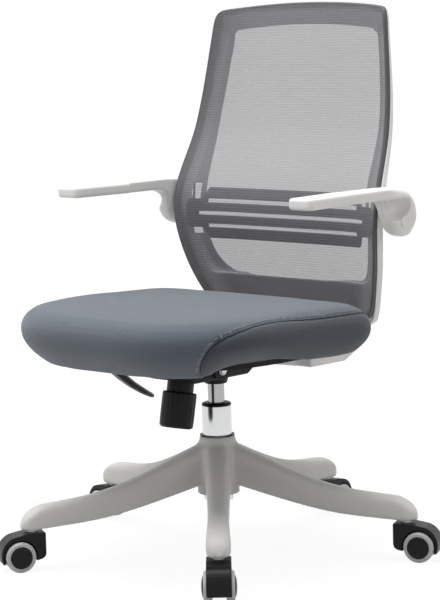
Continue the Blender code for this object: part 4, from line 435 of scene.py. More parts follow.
WHITE = Moulded(
    "white_satin", Slot.WHITE, (0.86, 0.845, 0.82), 0.36, mottle=0.03, relief=0.00002, specular=0.4
)
BASE = Moulded(
    "pale_grey_moulding", Slot.BASE, (0.68, 0.67, 0.645), 0.42,
    mottle=0.05, grain=1400.0, relief=0.00006, specular=0.35,
)
BLACK = Moulded(
    "black_satin", Slot.BLACK, (0.008, 0.008, 0.0076), 0.36,
    mottle=0.25, grain=1600.0, relief=0.00006, specular=0.16,
)
BLACK_STEEL = Moulded(
    "black_powder_coat", Slot.BLACK_STEEL, (0.009, 0.009, 0.009), 0.45,
    mottle=0.3, grain=2200.0, relief=0.00005, specular=0.2,
)
STEEL = Moulded(
    "bare_steel", Slot.STEEL, (0.56, 0.56, 0.56), 0.30, 1.0, mottle=0.08, grain=700.0, relief=0.00001
)
CHROME = Moulded("polished_chrome", Slot.CHROME, (0.80, 0.81, 0.82), 0.12, 1.0, 0.02, 0.04, relief=0.000004)
SATIN = Moulded("satin_chrome", Slot.CHROME, (0.66, 0.665, 0.665), 0.22, 1.0, 0.02, 0.05, relief=0.000006)
ROD = Moulded("piston_chrome", Slot.CHROME, (0.42, 0.42, 0.42), 0.22, 1.0, 0.02, 0.04, relief=0.000004)
GREY = Moulded(
    "grey_moulding", Slot.GREY, (0.13, 0.13, 0.14), 0.55, mottle=0.12, relief=0.00005, specular=0.3
)
# Its two lighter colours are painted light: a grey that offsets the mesh's shadow, and a highlight for the
# channel.
FRAME_GREY = Striped(
    "mesh_frame_moulding", Slot.GREY, (0.10, 0.10, 0.105), 0.55,
    mottle=0.10, specular=0.3, under=(0.66, 0.66, 0.69), pale=(0.96, 0.96, 0.97),
)
TREAD = Moulded("pale_tread", Slot.WHEEL, (0.50, 0.50, 0.51), 0.45, mottle=0.08)
THREAD = Moulded("seam_thread", Slot.SEAT, (0.02, 0.023, 0.027), 0.8, mottle=0.3, grain=3000.0, specular=0.2)
STITCH = Moulded("stitch_thread", Slot.SEAT, (0.30, 0.32, 0.35), 0.75, mottle=0.3, grain=3000.0, specular=0.2)
# Its side panels are darkened by a factor as painted shade.
SEAT = Upholstery("seat_weave", Slot.SEAT, (0.088, 0.104, 0.126), (0.142, 0.166, 0.198))
MESH = Knit("back_knit", Slot.MESH, (0.245, 0.245, 0.258), (0.268, 0.268, 0.281), 0.54)

CARRIED = (WHITE, BASE, BLACK, BLACK_STEEL, STEEL, CHROME, GREY, TREAD)


def grid_faces(rows: int, columns: int, wrap_rows: bool = False, wrap_columns: bool = True) -> Array:
    """Join a grid of points, numbered row by row, into quads.

    Args:
        rows: Rows of points.
        columns: Points in a row.
        wrap_rows: Whether the last row joins the first.
        wrap_columns: Whether the last column joins the first.

    Returns:
        Quads as an (n, 4) array of point numbers.
    """
    row = np.arange(rows if wrap_rows else rows - 1)
    column = np.arange(columns if wrap_columns else columns - 1)
    a, b = np.meshgrid(row, column, indexing="ij")
    up, right = (a + 1) % rows, (b + 1) % columns
    corners = [a * columns + b, a * columns + right, up * columns + right, up * columns + b]
    return np.stack(corners, -1).reshape(-1, 4)


def mesh_from(name: str, points: Array, faces: Array, weld: float = 1e-6) -> bpy.types.Mesh:
    """Make a smooth mesh whose doubled points are merged and whose faces point outwards.

    Args:
        name: The mesh's name.
        points: Points as an (n, 3) array.
        faces: Faces as an array of point numbers.
        weld: Points closer than this are merged.

    Returns:
        The mesh.
    """
    mesh = bpy.data.meshes.new(name)
    mesh.from_pydata(points.reshape(-1, 3).tolist(), [], faces.tolist())
    bm = bmesh.new()
    bm.from_mesh(mesh)
    bmesh.ops.remove_doubles(bm, verts=bm.verts, dist=weld)
    bmesh.ops.dissolve_degenerate(bm, edges=bm.edges, dist=weld)
    bmesh.ops.recalc_face_normals(bm, faces=bm.faces)
    bm.to_mesh(mesh)
    bm.free()
    mesh.shade_smooth()
    return mesh


def mesh_points(mesh: bpy.types.Mesh) -> Array:
    """Return a mesh's points as an (n, 3) array."""
    found = np.empty(len(mesh.vertices) * 3)
    mesh.vertices.foreach_get("co", found)
    return found.reshape(-1, 3)


def mesh_normals(mesh: bpy.types.Mesh) -> Array:
    """Return a mesh's point normals as an (n, 3) array."""
    found = np.empty(len(mesh.vertices) * 3)
    mesh.vertex_normals.foreach_get("vector", found)
    return found.reshape(-1, 3)


def set_points(mesh: bpy.types.Mesh, points: Array) -> None:
    """Put an (n, 3) array into a mesh as its points."""
    mesh.vertices.foreach_set("co", points.astype(np.float32).ravel())
    mesh.update()


def add_object(name: str, mesh: bpy.types.Mesh) -> bpy.types.Object:
    """Link a new object with a mesh to the scene and return it."""
    made = bpy.data.objects.new(name, mesh)
    bpy.context.scene.collection.objects.link(made)
    return made


def evaluated_mesh(obj: bpy.types.Object) -> bpy.types.Mesh:
    """Return a plain mesh with an object's modifiers applied."""
    graph = bpy.context.evaluated_depsgraph_get()
    return bpy.data.meshes.new_from_object(obj.evaluated_get(graph))


def soften(obj: bpy.types.Object, rounds: int) -> None:
    """Smooth an object's points with a modifier."""
    smooth = obj.modifiers.new("soften", "SMOOTH")
    smooth.factor = 0.5
    smooth.iterations = rounds


def thicken(obj: bpy.types.Object, thickness: float) -> None:
    """Give an object's surface a thickness, half on each side."""
    thick = obj.modifiers.new("thickness", "SOLIDIFY")
    thick.thickness = thickness
    thick.offset = 0.0


def rebuilt(name: str, mesh: bpy.types.Mesh, voxel: float, rounds: int = 0) -> bpy.types.Object:
    """Rebuild a mesh from even cells, which rounds its edges over.

    Args:
        name: The new object's name.
        mesh: The mesh.
        voxel: Size of the cells.
        rounds: Rounds of smoothing.

    Returns:
        The object, with a plain mesh.
    """
    rough = add_object(f"{name}_rough", mesh)
    remesh = rough.modifiers.new("rebuild", "REMESH")
    remesh.mode = "VOXEL"
    remesh.voxel_size = voxel
    if rounds:
        soften(rough, rounds)
    made = evaluated_mesh(rough)
    bpy.data.objects.remove(rough)
    made.name = name
    made.shade_smooth()
    return add_object(name, made)


def write_attribute(mesh: bpy.types.Mesh, name: str, values: Array) -> None:
    """Write a value per point into a mesh."""
    attribute = mesh.attributes.new(name, "FLOAT", "POINT")
    attribute.data.foreach_set("value", values.astype(np.float32).ravel())


def filleted(corners: list[tuple[float, float]], radius: float, closed: bool, steps: int = 4) -> Array:
    """Round the corners of an outline with short parabolas.

    Args:
        corners: Points of the outline.
        radius: How far from a corner its rounding starts, at most a little under half of a side.
        closed: Whether the last point joins the first; an open outline keeps its two ends.
        steps: Parts of each rounding.

    Returns:
        The outline as an (n, 2) array.
    """
    here = np.array(corners, float)
    before, after = np.roll(here, 1, axis=0), np.roll(here, -1, axis=0)
    reach_in = np.linalg.norm(before - here, axis=1, keepdims=True)
    reach_out = np.linalg.norm(after - here, axis=1, keepdims=True)
    trim = np.minimum(radius, 0.48 * np.minimum(reach_in, reach_out))
    start = here + (before - here) / reach_in * trim
    end = here + (after - here) / reach_out * trim
    t = np.linspace(0.0, 1.0, steps + 1)[None, :, None]
    bent = start[:, None] * (1 - t) ** 2 + here[:, None] * 2 * t * (1 - t) + end[:, None] * t**2
    if closed:
        return bent.reshape(-1, 2)
    return np.concatenate([here[:1], bent[1:-1].reshape(-1, 2), here[-1:]])


def turned(profile: Array, steps: int = 96, swell: Array | None = None) -> Array:
    """Turn a profile of (radius, height) about Z: x = r cos a, y = r sin a, z = height.

    Args:
        profile: Points of the profile.
        steps: Points round the axis.
        swell: Amount added to the radius, per profile point and step.

    Returns:
        Points as an (n, steps, 3) array.
    """
    angle = np.arange(steps) * math.tau / steps
    radius = np.repeat(profile[:, :1], steps, axis=1)
    if swell is not None:
        radius = radius + swell
    height = np.repeat(profile[:, 1:], steps, axis=1)
    return np.stack([radius * np.cos(angle), radius * np.sin(angle), height], axis=-1)


def tube(path: Array, radius: float, sides: int = 20) -> tuple[Array, Array]:
    """Carry a circle along a path, and close both ends.

    Args:
        path: Points of the centre line.
        radius: The circle's radius.
        sides: Points round the circle.

    Returns:
        Points as an (n, sides, 3) array, and the faces.
    """
    run = np.gradient(path, axis=0)
    run /= np.linalg.norm(run, axis=1, keepdims=True)
    least = np.eye(3)[np.argmin(np.abs(run).mean(axis=0))]
    side = np.cross(run, least)
    side /= np.linalg.norm(side, axis=1, keepdims=True)
    other = np.cross(run, side)
    angle = np.arange(sides) * math.tau / sides
    ring = np.cos(angle)[None, :, None] * side[:, None] + np.sin(angle)[None, :, None] * other[:, None]
    points = path[:, None] + radius * ring
    ends = np.repeat(path[[0, -1]][:, None], sides, axis=1)
    whole = np.concatenate([ends[:1], points, ends[1:]])
    return whole, grid_faces(len(whole), sides)


def smooth_run(points: tuple[tuple[float, float, float], ...], count: int) -> Array:
    """Draw a smooth curve through points, evenly spaced along its length.

    Args:
        points: Points that it passes.
        count: Points of the result.

    Returns:
        The curve as a (count, 3) array.
    """
    knots = np.array(points, float)
    at = np.concatenate([[0.0], np.cumsum(np.linalg.norm(np.diff(knots, axis=0), axis=1))])
    fine = np.linspace(0.0, at[-1], count * 8)
    curve = np.stack([hermite(at, knots[:, axis], fine) for axis in range(3)], axis=1)
    length = np.concatenate([[0.0], np.cumsum(np.linalg.norm(np.diff(curve, axis=0), axis=1))])
    even = np.linspace(0.0, length[-1], count)
    return np.stack([np.interp(even, length, curve[:, axis]) for axis in range(3)], axis=1)


def hermite(knots: Array, values: Array, at: Array) -> Array:
    """Smooth curve through knots: cubic pieces whose slopes come from the neighbouring knots.

    Args:
        knots: Places of the knots, rising.
        values: Values at the knots.
        at: Places to work out.

    Returns:
        Values at those places.
    """
    knots, values, at = (np.asarray(given, float) for given in (knots, values, at))
    slopes = np.gradient(values, knots)
    left = np.clip(np.searchsorted(knots, at) - 1, 0, len(knots) - 2)
    span = knots[left + 1] - knots[left]
    t = np.clip((at - knots[left]) / span, 0.0, 1.0)
    start = (2 * t**3 - 3 * t**2 + 1) * values[left] + (t**3 - 2 * t**2 + t) * span * slopes[left]
    end = (3 * t**2 - 2 * t**3) * values[left + 1] + (t**3 - t**2) * span * slopes[left + 1]
    return start + end


def step_between(low: float, high: float, at: Array) -> Array:
    """Rise smoothly from 0 at low to 1 at high."""
    t = np.clip((np.asarray(at) - low) / (high - low), 0.0, 1.0)
    return t * t * (3 - 2 * t)


def soft_union(first: Array, second: Array, reach: float) -> Array:
    """Blend two distance fields into one, with a fillet about as wide as reach."""
    share = np.clip(0.5 + 0.5 * (second - first) / reach, 0.0, 1.0)
    return second + (first - second) * share - reach * share * (1.0 - share)


def rounded_corner(first: Array, second: Array, edge: Array | float) -> Array:
    """Join two distances, each taken to where the rounding starts, into the field of a rounded corner."""
    outside = np.hypot(np.maximum(first, 0), np.maximum(second, 0))
    return outside + np.minimum(np.maximum(first, second), 0) - edge


def level_surface(values: Array, origin: Array, step: float) -> tuple[Array, Array]:
    """Skin the zero level of a field on a box of grid points, one point per crossed cell.

    Each crossed cell's point is the mean of the crossings on its twelve edges; each crossed grid edge gives
    one quad between the four cells round it.

    Args:
        values: The field, negative inside.
        origin: Place of the first grid point.
        step: Grid spacing.

    Returns:
        Points as (n, 3) and quads as (m, 4).
    """
    cells = tuple(n - 1 for n in values.shape)
    total = np.zeros((*cells, 3), np.float32)
    count = np.zeros(cells, np.float32)
    for axis in range(3):
        u, v = (axis + 1) % 3, (axis + 2) % 3
        for du in (0, 1):
            for dv in (0, 1):
                low = [slice(0, n) for n in cells]
                low[u] = slice(du, du + cells[u])
                low[v] = slice(dv, dv + cells[v])
                high = list(low)
                high[axis] = slice(1, None)
                a, b = values[tuple(low)], values[tuple(high)]
                crossed = (a < 0) != (b < 0)
                share = np.where(crossed, a / np.where(crossed, a - b, 1.0), 0.0)
                total[..., axis] += share
                total[..., u] += du * crossed
                total[..., v] += dv * crossed
                count += crossed
    active = count > 0
    number = np.full(cells, -1, np.int64)
    number[active] = np.arange(active.sum())
    points = (np.argwhere(active) + total[active] / count[active][:, None]) * step + np.asarray(origin)
    quads = []
    for axis in range(3):
        u, v = (axis + 1) % 3, (axis + 2) % 3
        low = [slice(None)] * 3
        low[axis] = slice(0, -1)
        high = [slice(None)] * 3
        high[axis] = slice(1, None)
        a, b = values[tuple(low)] < 0, values[tuple(high)] < 0
        edge = np.argwhere(a != b)
        edge = edge[(edge[:, u] > 0) & (edge[:, v] > 0) & (edge[:, u] < cells[u]) & (edge[:, v] < cells[v])]
        leaving = a[tuple(edge.T)]
        ring = []
        for du, dv in ((-1, -1), (0, -1), (0, 0), (-1, 0)):
            cell = edge.copy()
            cell[:, u] += du
            cell[:, v] += dv
            ring.append(number[tuple(cell.T)])
        quad = np.stack(ring, axis=1)
        quads.append(np.where(leaving[:, None], quad, quad[:, ::-1]))
    return points, np.concatenate(quads)


@dataclass
class Workshop:
    """The loaded frame, and what every sub-assembly needs from it."""

    frame: dict
    axis: Array = field(init=False)
    slots: dict[str, str] = field(init=False)
    made: int = 0
    weld: float = 1e-5

    def __post_init__(self) -> None:
        """Find the swivel axis and each node's material slot."""
        swivel = next(found for found in self.frame["joints"] if found["name"] == "swivel")
        self.axis = np.array([swivel["pos_m"][0], swivel["pos_m"][1], 0.0])
        self.slots = {row["node"]: row["material_slot"] for row in self.frame["record"]["subparts"]}

    def piece(
        self,
        name: str,
        points: Array,
        faces: Array,
        finish: Finish,
        body: str | None,
        stands_for: tuple[str, ...] = (),
        matrix: Matrix | None = None,
    ) -> bpy.types.Object:
        """Make a piece from points worked out about the swivel axis.

        Args:
            name: The piece's name.
            points: Its points, about the swivel axis or in the matrix's frame.
            faces: Its faces.
            finish: Its finish.
            body: The CAD body that it rides on, or None where a blend carries it.
            stands_for: CAD nodes that it replaces.
            matrix: Frame of the points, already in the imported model's place.

        Returns:
            The piece.
        """
        mesh = mesh_from(name, points, faces)
        mesh.transform(Matrix.Translation(self.axis) if matrix is None else matrix)
        return self.settle(add_object(name, mesh), finish, body, stands_for)

    def turned_piece(
        self,
        name: str,
        corners: list[tuple[float, float]],
        edge: float,
        finish: Finish,
        body: str,
        stands_for: tuple[str, ...] = (),
        matrix: Matrix | None = None,
        closed: bool = True,
        steps: int = 96,
    ) -> None:
        """Make a piece by turning an outline about Z.

        Args:
            name: The piece's name.
            corners: The outline as (radius, height).
            edge: Rounding of its corners.
            finish: Its finish.
            body: The CAD body that it rides on.
            stands_for: CAD nodes that it replaces.
            matrix: Frame of the outline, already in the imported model's place.
            closed: Whether the outline is a ring's section, not one that starts and ends on the axis.
            steps: Points round the axis.
        """
        points = turned(filleted(corners, edge, closed), steps)
        faces = grid_faces(*points.shape[:2], wrap_rows=closed)
        self.piece(name, points, faces, finish, body, stands_for, matrix)

    def place(self, point: tuple[float, float, float], angle: float, axis: str = "Y") -> Matrix:
        """Frame at a point given about the swivel axis, turned about one of its own axes."""
        return Matrix.Translation(Vector(self.axis) + Vector(point)) @ Matrix.Rotation(angle, 4, axis)

    def settle(
        self, obj: bpy.types.Object, finish: Finish, body: str | None, stands_for: tuple[str, ...] = ()
    ) -> bpy.types.Object:
        """Dress an object and put it on its body.

        Args:
            obj: The object, in place.
            finish: Its finish.
            body: The CAD body that it rides on, or None where a blend carries it.
            stands_for: CAD nodes that it replaces.

        Returns:
            The object.
        """
        obj.data.materials.clear()
        obj.data.materials.append(finish.material())
        if body:
            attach(obj, body)
        if stands_for:
            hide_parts(*stands_for)
        self.made += 1
        LOG.info("%s: %d faces on %s", obj.name, len(obj.data.polygons), body)
        return obj

    def soft_copy(
        self, node: str, name: str, voxel: float, rounds: int, finish: Finish, body: str
    ) -> bpy.types.Object:
        """Replace a CAD node with a copy whose edges are rounded over and whose facets are smoothed away.

        Args:
            node: The CAD node.
            name: The copy's name.
            voxel: Size of the cells that the copy is rebuilt from.
            rounds: Rounds of smoothing.
            finish: Its finish.
            body: The CAD body that it rides on.

        Returns:
            The copy.
        """
        mesh = self.frame["nodes"][node].data.copy()
        bm = bmesh.new()
        bm.from_mesh(mesh)
        bmesh.ops.remove_doubles(bm, verts=bm.verts, dist=self.weld)
        bm.to_mesh(mesh)
        bm.free()
        return self.settle(rebuilt(name, mesh, voxel, rounds), finish, body, (node,))


@dataclass
class StarBase:
    """Hub with five legs, blended into one moulding."""

    legs: int = 5
    first: float = math.radians(42.6)
    reach: float = 0.320
    knee: float = 0.205
    widths: tuple[float, ...] = (0.046, 0.034, 0.039)
    crests: tuple[float, ...] = (0.194, 0.1175, 0.103)
    undersides: tuple[float, ...] = (0.124, 0.0745, 0.066)
    hub_top: float = 0.196
    hub_foot: float = 0.098
    hub_top_radius: float = 0.0290
    hub_foot_radius: float = 0.0350
    bore: float = 0.0248
    fillet: float = 0.008
    section_powers: tuple[float, float] = (3.0, 6.0)
    inner_end: float = -0.01
    washer: tuple[float, float, float, float] = (0.0252, 0.0288, 0.1962, 0.1975)
    washer_edge: float = 0.0004
    step: float = 0.0028
    rounds: int = 4

    def leg_field(self, along: Array, across: Array, up: Array) -> Array:
        """Distance from a leg: a rounded section, softer above than below, that ends in a round nose.

        Args:
            along: Distance out from the hub.
            across: Distance to the side.
            up: Height.

        Returns:
            Rough distance, negative inside.
        """
        nose = self.widths[-1] / 2
        start = self.reach - nose
        table = np.linspace(0.0, self.reach + nose, 400)
        knots = (0.0, self.knee, self.reach)
        past_stem = np.clip((table - self.reach) / nose, 0.0, 0.999)
        past_start = np.clip((table - start) / (2 * nose), 0.0, 0.999)
        low = hermite(knots, self.undersides, table)
        half = hermite(knots, self.widths, table) * np.sqrt(1.0 - past_stem**2) / 2
        crest = low + (hermite(knots, self.crests, table) - low) * np.sqrt(1.0 - past_start**2)
        half_here, low_here, crest_here = (np.interp(along, table, given) for given in (half, low, crest))
        middle, rise = (low_here + crest_here) / 2, (crest_here - low_here) / 2
        power = np.where(up > middle, *self.section_powers)
        ratio = (np.abs(across) / half_here) ** power + (np.abs(up - middle) / rise) ** power
        inside = (ratio ** (1.0 / power) - 1.0) * np.minimum(half_here, rise)
        return np.maximum(inside, np.maximum(along - self.reach - nose, self.inner_end - along))

    def build(self, shop: Workshop) -> None:
        """Work out the whole base as one distance field and skin it."""
        edge = self.reach + self.widths[-1] / 2 + 3 * self.step
        plan = np.arange(-edge, edge, self.step)
        rise = np.arange(self.undersides[-1] - 3 * self.step, self.hub_top + 3 * self.step, self.step)
        x, y, z = np.meshgrid(plan, plan, rise, indexing="ij")
        radius = np.hypot(x, y)
        share = np.clip((z - self.hub_foot) / (self.hub_top - self.hub_foot), 0.0, 1.0)
        wall = self.hub_foot_radius + (self.hub_top_radius - self.hub_foot_radius) * share
        whole = np.maximum(radius - wall, np.maximum(z - self.hub_top, self.hub_foot - z))
        for leg in range(self.legs):
            azimuth = self.first + leg * math.tau / self.legs
            along = x * math.sin(azimuth) - y * math.cos(azimuth)
            across = x * math.cos(azimuth) + y * math.sin(azimuth)
            whole = soft_union(whole, self.leg_field(along, across, z), self.fillet)
        whole = np.maximum(whole, z - self.hub_top)
        whole = np.maximum(whole, self.bore - radius)
        points, quads = level_surface(whole, np.array([plan[0], plan[0], rise[0]]), self.step)
        base = shop.piece("star_base_moulding", points, quads, BASE, "base", ("star_base",))
        soften(base, self.rounds)
        inner, outer, low, high = self.washer
        corners = [(inner, high), (outer, high), (outer, low), (inner, low)]
        shop.turned_piece("hub_washer", corners, self.washer_edge, BLACK, "base")


@dataclass
class Casters:
    """Five twin-wheel casters."""

    base: StarBase
    wheel_radius: float = 0.025
    wheel_width: float = 0.0135
    inner_face: float = 0.0108
    trail: float = 0.024
    bore: float = 0.0045
    seat: float = 0.0016
    tread_edge: float = 0.0008
    tread_steps: int = 72
    cap_radius: float = 0.0178
    cap_rise: float = 0.0035
    cap_foot: tuple[float, float] = (0.0008, 0.0014)
    cap_steps: int = 64
    hood_voxel: float = 0.0009
    hood_rounds: int = 7

    def tread_profile(self) -> Array:
        """Profile of a wheel's pale ring: round shoulders, a thin groove in its face, a seat for the cap."""
        r, w, c = self.wheel_radius, self.wheel_width, self.cap_radius
        corners = [
            (self.bore, 0.0),
            (r - 0.001, 0.0),
            (r, 0.001),
            (r, w - 0.0035),
            (r - 0.0022, w - 0.0003),
            (r - 0.0036, w),
            (r - 0.0040, w - 0.0005),
            (r - 0.0044, w),
            (c + 0.0005, w),
            (c + 0.0002, w - self.seat),
            (self.bore, w - self.seat),
        ]
        return filleted(corners, self.tread_edge, True, 3)

    def cap_profile(self) -> Array:
        """Profile of a wheel's black domed cap, from its middle out and under."""
        w, c = self.wheel_width, self.cap_radius
        turn = np.linspace(0.0, math.pi / 2, 10)
        low, foot = (w - drop for drop in self.cap_foot)
        dome = np.column_stack([c * np.sin(turn), low + (self.cap_rise + 2 * CLEARANCE) * np.cos(turn)])
        return np.concatenate([dome, [[c, foot], [0.0, foot]]])

    def build(self, shop: Workshop) -> None:
        """Make the hoods, the treads and the caps."""
        tread = turned(self.tread_profile(), self.tread_steps)
        cap = turned(self.cap_profile(), self.cap_steps)
        tread_faces = grid_faces(*tread.shape[:2], wrap_rows=True)
        cap_faces = grid_faces(*cap.shape[:2])
        for leg in range(self.base.legs):
            number = leg + 1
            azimuth = self.base.first + leg * math.tau / self.base.legs
            turn = Matrix.Translation(shop.axis) @ Matrix.Rotation(azimuth - math.pi / 2, 4, "Z")
            hood = f"caster_{number}_hood"
            name, body = f"{hood}_moulding", f"caster_{number}"
            shop.soft_copy(hood, name, self.hood_voxel, self.hood_rounds, BLACK, body)
            for side in Side:
                axle = (self.base.reach + self.trail, side.value * self.inner_face, self.wheel_radius)
                stand = Matrix.Rotation(-side.value * math.pi / 2, 4, "X")
                place = turn @ Matrix.Translation(axle) @ stand
                body = f"caster_{number}_wheel_{side.word}"
                shop.piece(f"{body}_tread", tread, tread_faces, TREAD, body, (body,), place)
                shop.piece(f"{body}_cap", cap, cap_faces, BLACK, body, (), place)


@dataclass
class GasLift:
    """Column tube, its bush and the pressure tube."""

    column_radius: float = 0.0245
    column_wall: float = 0.002
    column_foot: float = 0.088
    column_top: float = 0.246
    collar: float = 0.0043
    collar_bevel: tuple[float, float] = (0.004, 0.001)
    column_hole: float = 0.0056
    column_floor: float = 0.003
    bush_length: float = 0.1
    bush_slack: float = 0.0004
    tube_radius: float = 0.0138
    tube_top: float = 0.3062
    tube_length: float = 0.190
    tube_wall: float = 0.0033
    tube_ends: float = 0.006
    tube_holes: tuple[float, float] = (0.0055, 0.0034)
    tube_edge: float = 0.0006
    bush_edge: float = 0.0009

    def build(self, shop: Workshop) -> None:
        """Turn the three tubes that show, each in place of its CAD node."""
        r, inner = self.column_radius, self.column_radius - self.column_wall
        low, top = self.column_foot, self.column_top
        hole, floor = self.column_hole, self.column_foot + self.column_floor
        column = [(r, top), (r, low), (hole, low), (hole, floor), (inner, floor), (inner, top)]
        bore, close = self.tube_radius + self.bush_slack, inner - CLEARANCE
        slope, drop = self.collar_bevel
        bush = [
            (r - slope, top + self.collar + drop),
            (r, top + self.collar - drop),
            (r, top + CLEARANCE),
            (close, top + CLEARANCE),
            (close, top - self.bush_length),
            (bore, top - self.bush_length),
            (bore, top + self.collar + drop),
        ]
        t, high, end = self.tube_radius, self.tube_top, self.tube_top - self.tube_length
        wall, (foot_hole, top_hole) = t - self.tube_wall, self.tube_holes
        pressure = [
            (t, high),
            (t, end),
            (foot_hole, end),
            (foot_hole, end + self.tube_ends),
            (wall, end + self.tube_ends),
            (wall, high - self.tube_ends),
            (top_hole, high - self.tube_ends),
            (top_hole, high),
        ]
        for node, outline, edge, finish, body in (
            ("gas_column_tube", column, self.tube_edge, SATIN, "base"),
            ("gas_column_bush", bush, self.bush_edge, BLACK, "base"),
            ("gas_pressure_tube", pressure, self.tube_edge, ROD, "mechanism"),
        ):
            shop.turned_piece(f"{node}_turned", outline, edge, finish, body, (node,))


@dataclass
class Mechanism:
    """Housing, axle clips, tension knob and height lever."""

    axle_setback: float = -0.044
    axle_height: float = 0.315
    clip_inner: float = 0.0566
    clip_thickness: float = 0.0025
    clip_radius: float = 0.0085
    clip_hole: float = 0.0063
    clip_edge: float = 0.0008
    knob_foot: tuple[float, float] = (-0.098, 0.222)
    knob_lean: float = math.radians(11.5)
    knob_radius: float = 0.028
    knob_length: float = 0.059
    knob_wall: float = 0.0035
    knob_floors: tuple[float, float] = (0.004, 0.010)
    knob_edge: float = 0.0012
    knob_slack: float = 0.0004
    knob_rim: float = 0.0018
    bolt_hole: float = 0.0053
    sleeve_radius: float = 0.022
    sleeve_low: float = 0.039
    sleeve_high: float = 0.095
    sleeve_wall: float = 0.002
    sleeve_edge: float = 0.0008
    flutes: int = 18
    flute_steps: int = 216
    flute_depth: float = 0.0011
    flute_power: int = 6
    flute_foot: tuple[float, float] = (0.003, 0.010)
    flute_top: float = 0.006
    spring_radius: float = 0.0155
    spring_wire: float = 0.0022
    spring_turns: int = 5
    spring_ends: tuple[float, float] = (0.020, 0.093)
    coil_steps: int = 36
    housing_voxel: float = 0.0012
    paddle_voxel: float = 0.0008
    rounds: int = 5
    rod_radius: float = 0.004
    lever_height: float = 0.3165
    paddle_swell: float = 0.7
    lever_sweep: float = 0.176
    lever_bend: float = -0.088
    rod_start: float = 0.014
    rod_end: tuple[float, float, float] = (-0.188, -0.040, 0.303)

    def build(self, shop: Workshop) -> None:
        """Make the pieces of the mechanism that show."""
        voxel, rounds = self.housing_voxel, self.rounds
        shop.soft_copy("mechanism_housing", "housing_pressing", voxel, rounds, BLACK_STEEL, "mechanism")
        self.build_clips(shop)
        self.build_tension(shop)
        self.build_lever(shop)

    def build_clips(self, shop: Workshop) -> None:
        """Turn the ring clips at the ends of the tilt axle."""
        half, r, hole = self.clip_thickness / 2, self.clip_radius, self.clip_hole
        corners = [(r, half), (r, -half), (hole, -half), (hole, half)]
        for side in Side:
            x = side.value * (self.clip_inner + half)
            place = shop.place((x, self.axle_setback, self.axle_height), math.pi / 2)
            node = f"tilt_axle_clip_{side.word}"
            shop.turned_piece(f"{node}_ring", corners, self.clip_edge, WHITE, "mechanism", (node,), place)

    def build_tension(self, shop: Workshop) -> None:
        """Turn the fluted knob and the sleeve that it slides on."""
        place = shop.place((0.0, *self.knob_foot), -self.knob_lean, "X")
        r, length, hole = self.knob_radius, self.knob_length, self.bolt_hole
        inner, lip = r - self.knob_wall, self.sleeve_radius + self.knob_slack
        under, floor = self.knob_floors
        corners = [
            (0.0, 0.0),
            (r - 0.004, 0.0),
            (r - 0.0004, 0.0032),
            (r, length * 0.35),
            (r, length - self.knob_rim),
            (r - self.knob_rim, length),
            (lip, length),
            (lip, length - self.knob_wall),
            (inner, length - self.knob_wall),
            (inner, floor),
            (hole, floor),
            (hole, under),
            (0.0, under),
        ]
        profile = filleted(corners, self.knob_edge, False)
        angle = np.arange(self.flute_steps) * math.tau / self.flute_steps
        height = profile[:, 1]
        share = step_between(*self.flute_foot, height)
        share = share * step_between(length, length - self.flute_top, height)
        outside = (profile[:, 0] > inner + 0.001) * share
        dents = -self.flute_depth * np.maximum(0.0, np.cos(self.flutes * angle)) ** self.flute_power
        points = turned(profile, self.flute_steps, outside[:, None] * dents[None, :])
        faces = grid_faces(*points.shape[:2])
        shop.piece("tension_knob_fluted", points, faces, BLACK, "knob", ("tension_knob",), place)
        s, wall, low, high = self.sleeve_radius, self.sleeve_wall, self.sleeve_low, self.sleeve_high
        bore, roof = s - wall, high - wall
        corners = [(s, high), (s, low), (bore, low), (bore, roof), (hole, roof), (hole, high)]
        name, node = "spring_sleeve_turned", "spring_sleeve"
        shop.turned_piece(name, corners, self.sleeve_edge, BLACK, "mechanism", (node,), place)
        self.build_spring(shop, place)

    def build_spring(self, shop: Workshop, place: Matrix) -> None:
        """Wind the spring on the tension axis: its foot follows the spring seat and its top the housing."""
        low = self.spring_ends[0] + self.spring_wire + CLEARANCE
        high = self.spring_ends[1] - self.spring_wire - CLEARANCE
        turn = np.linspace(0.0, self.spring_turns * math.tau, self.spring_turns * self.coil_steps + 1)
        rise = np.linspace(low, high, len(turn))
        coil = np.column_stack([self.spring_radius * np.cos(turn), self.spring_radius * np.sin(turn), rise])
        points, faces = tube(coil, self.spring_wire, 12)
        spring = shop.piece("tension_spring_coil", points, faces, STEEL, None, ("tension_spring",), place)
        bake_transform(spring)

    def build_lever(self, shop: Workshop) -> None:
        """Bend the lever rod as the CAD does and round the paddle over."""

        def straight(x: float) -> Array:
            """Return a point on the rod's straight part."""
            return np.array([x, -self.lever_sweep * x, self.lever_height])

        t = np.linspace(0.0, 1.0, 24)[:, None]
        bend, pull, end = straight(self.lever_bend), straight(1.5 * self.lever_bend), np.array(self.rod_end)
        curve = bend * (1 - t) ** 2 + pull * (2 * t * (1 - t)) + end * t**2
        points, faces = tube(np.concatenate([straight(self.rod_start)[None], curve]), self.rod_radius)
        shop.piece("lever_rod_bent", points, faces, BLACK_STEEL, "lever", ("lever_rod",))
        voxel, rounds = self.paddle_voxel, self.rounds
        paddle = shop.soft_copy("lever_paddle", "lever_paddle_moulding", voxel, rounds, BLACK, "lever")
        points = mesh_points(paddle.data)
        middle = points.mean(axis=0)
        thin = np.linalg.eigh(np.cov((points - middle).T))[1][:, 0]
        set_points(paddle.data, points + np.outer((points - middle) @ thin, thin) * self.paddle_swell)


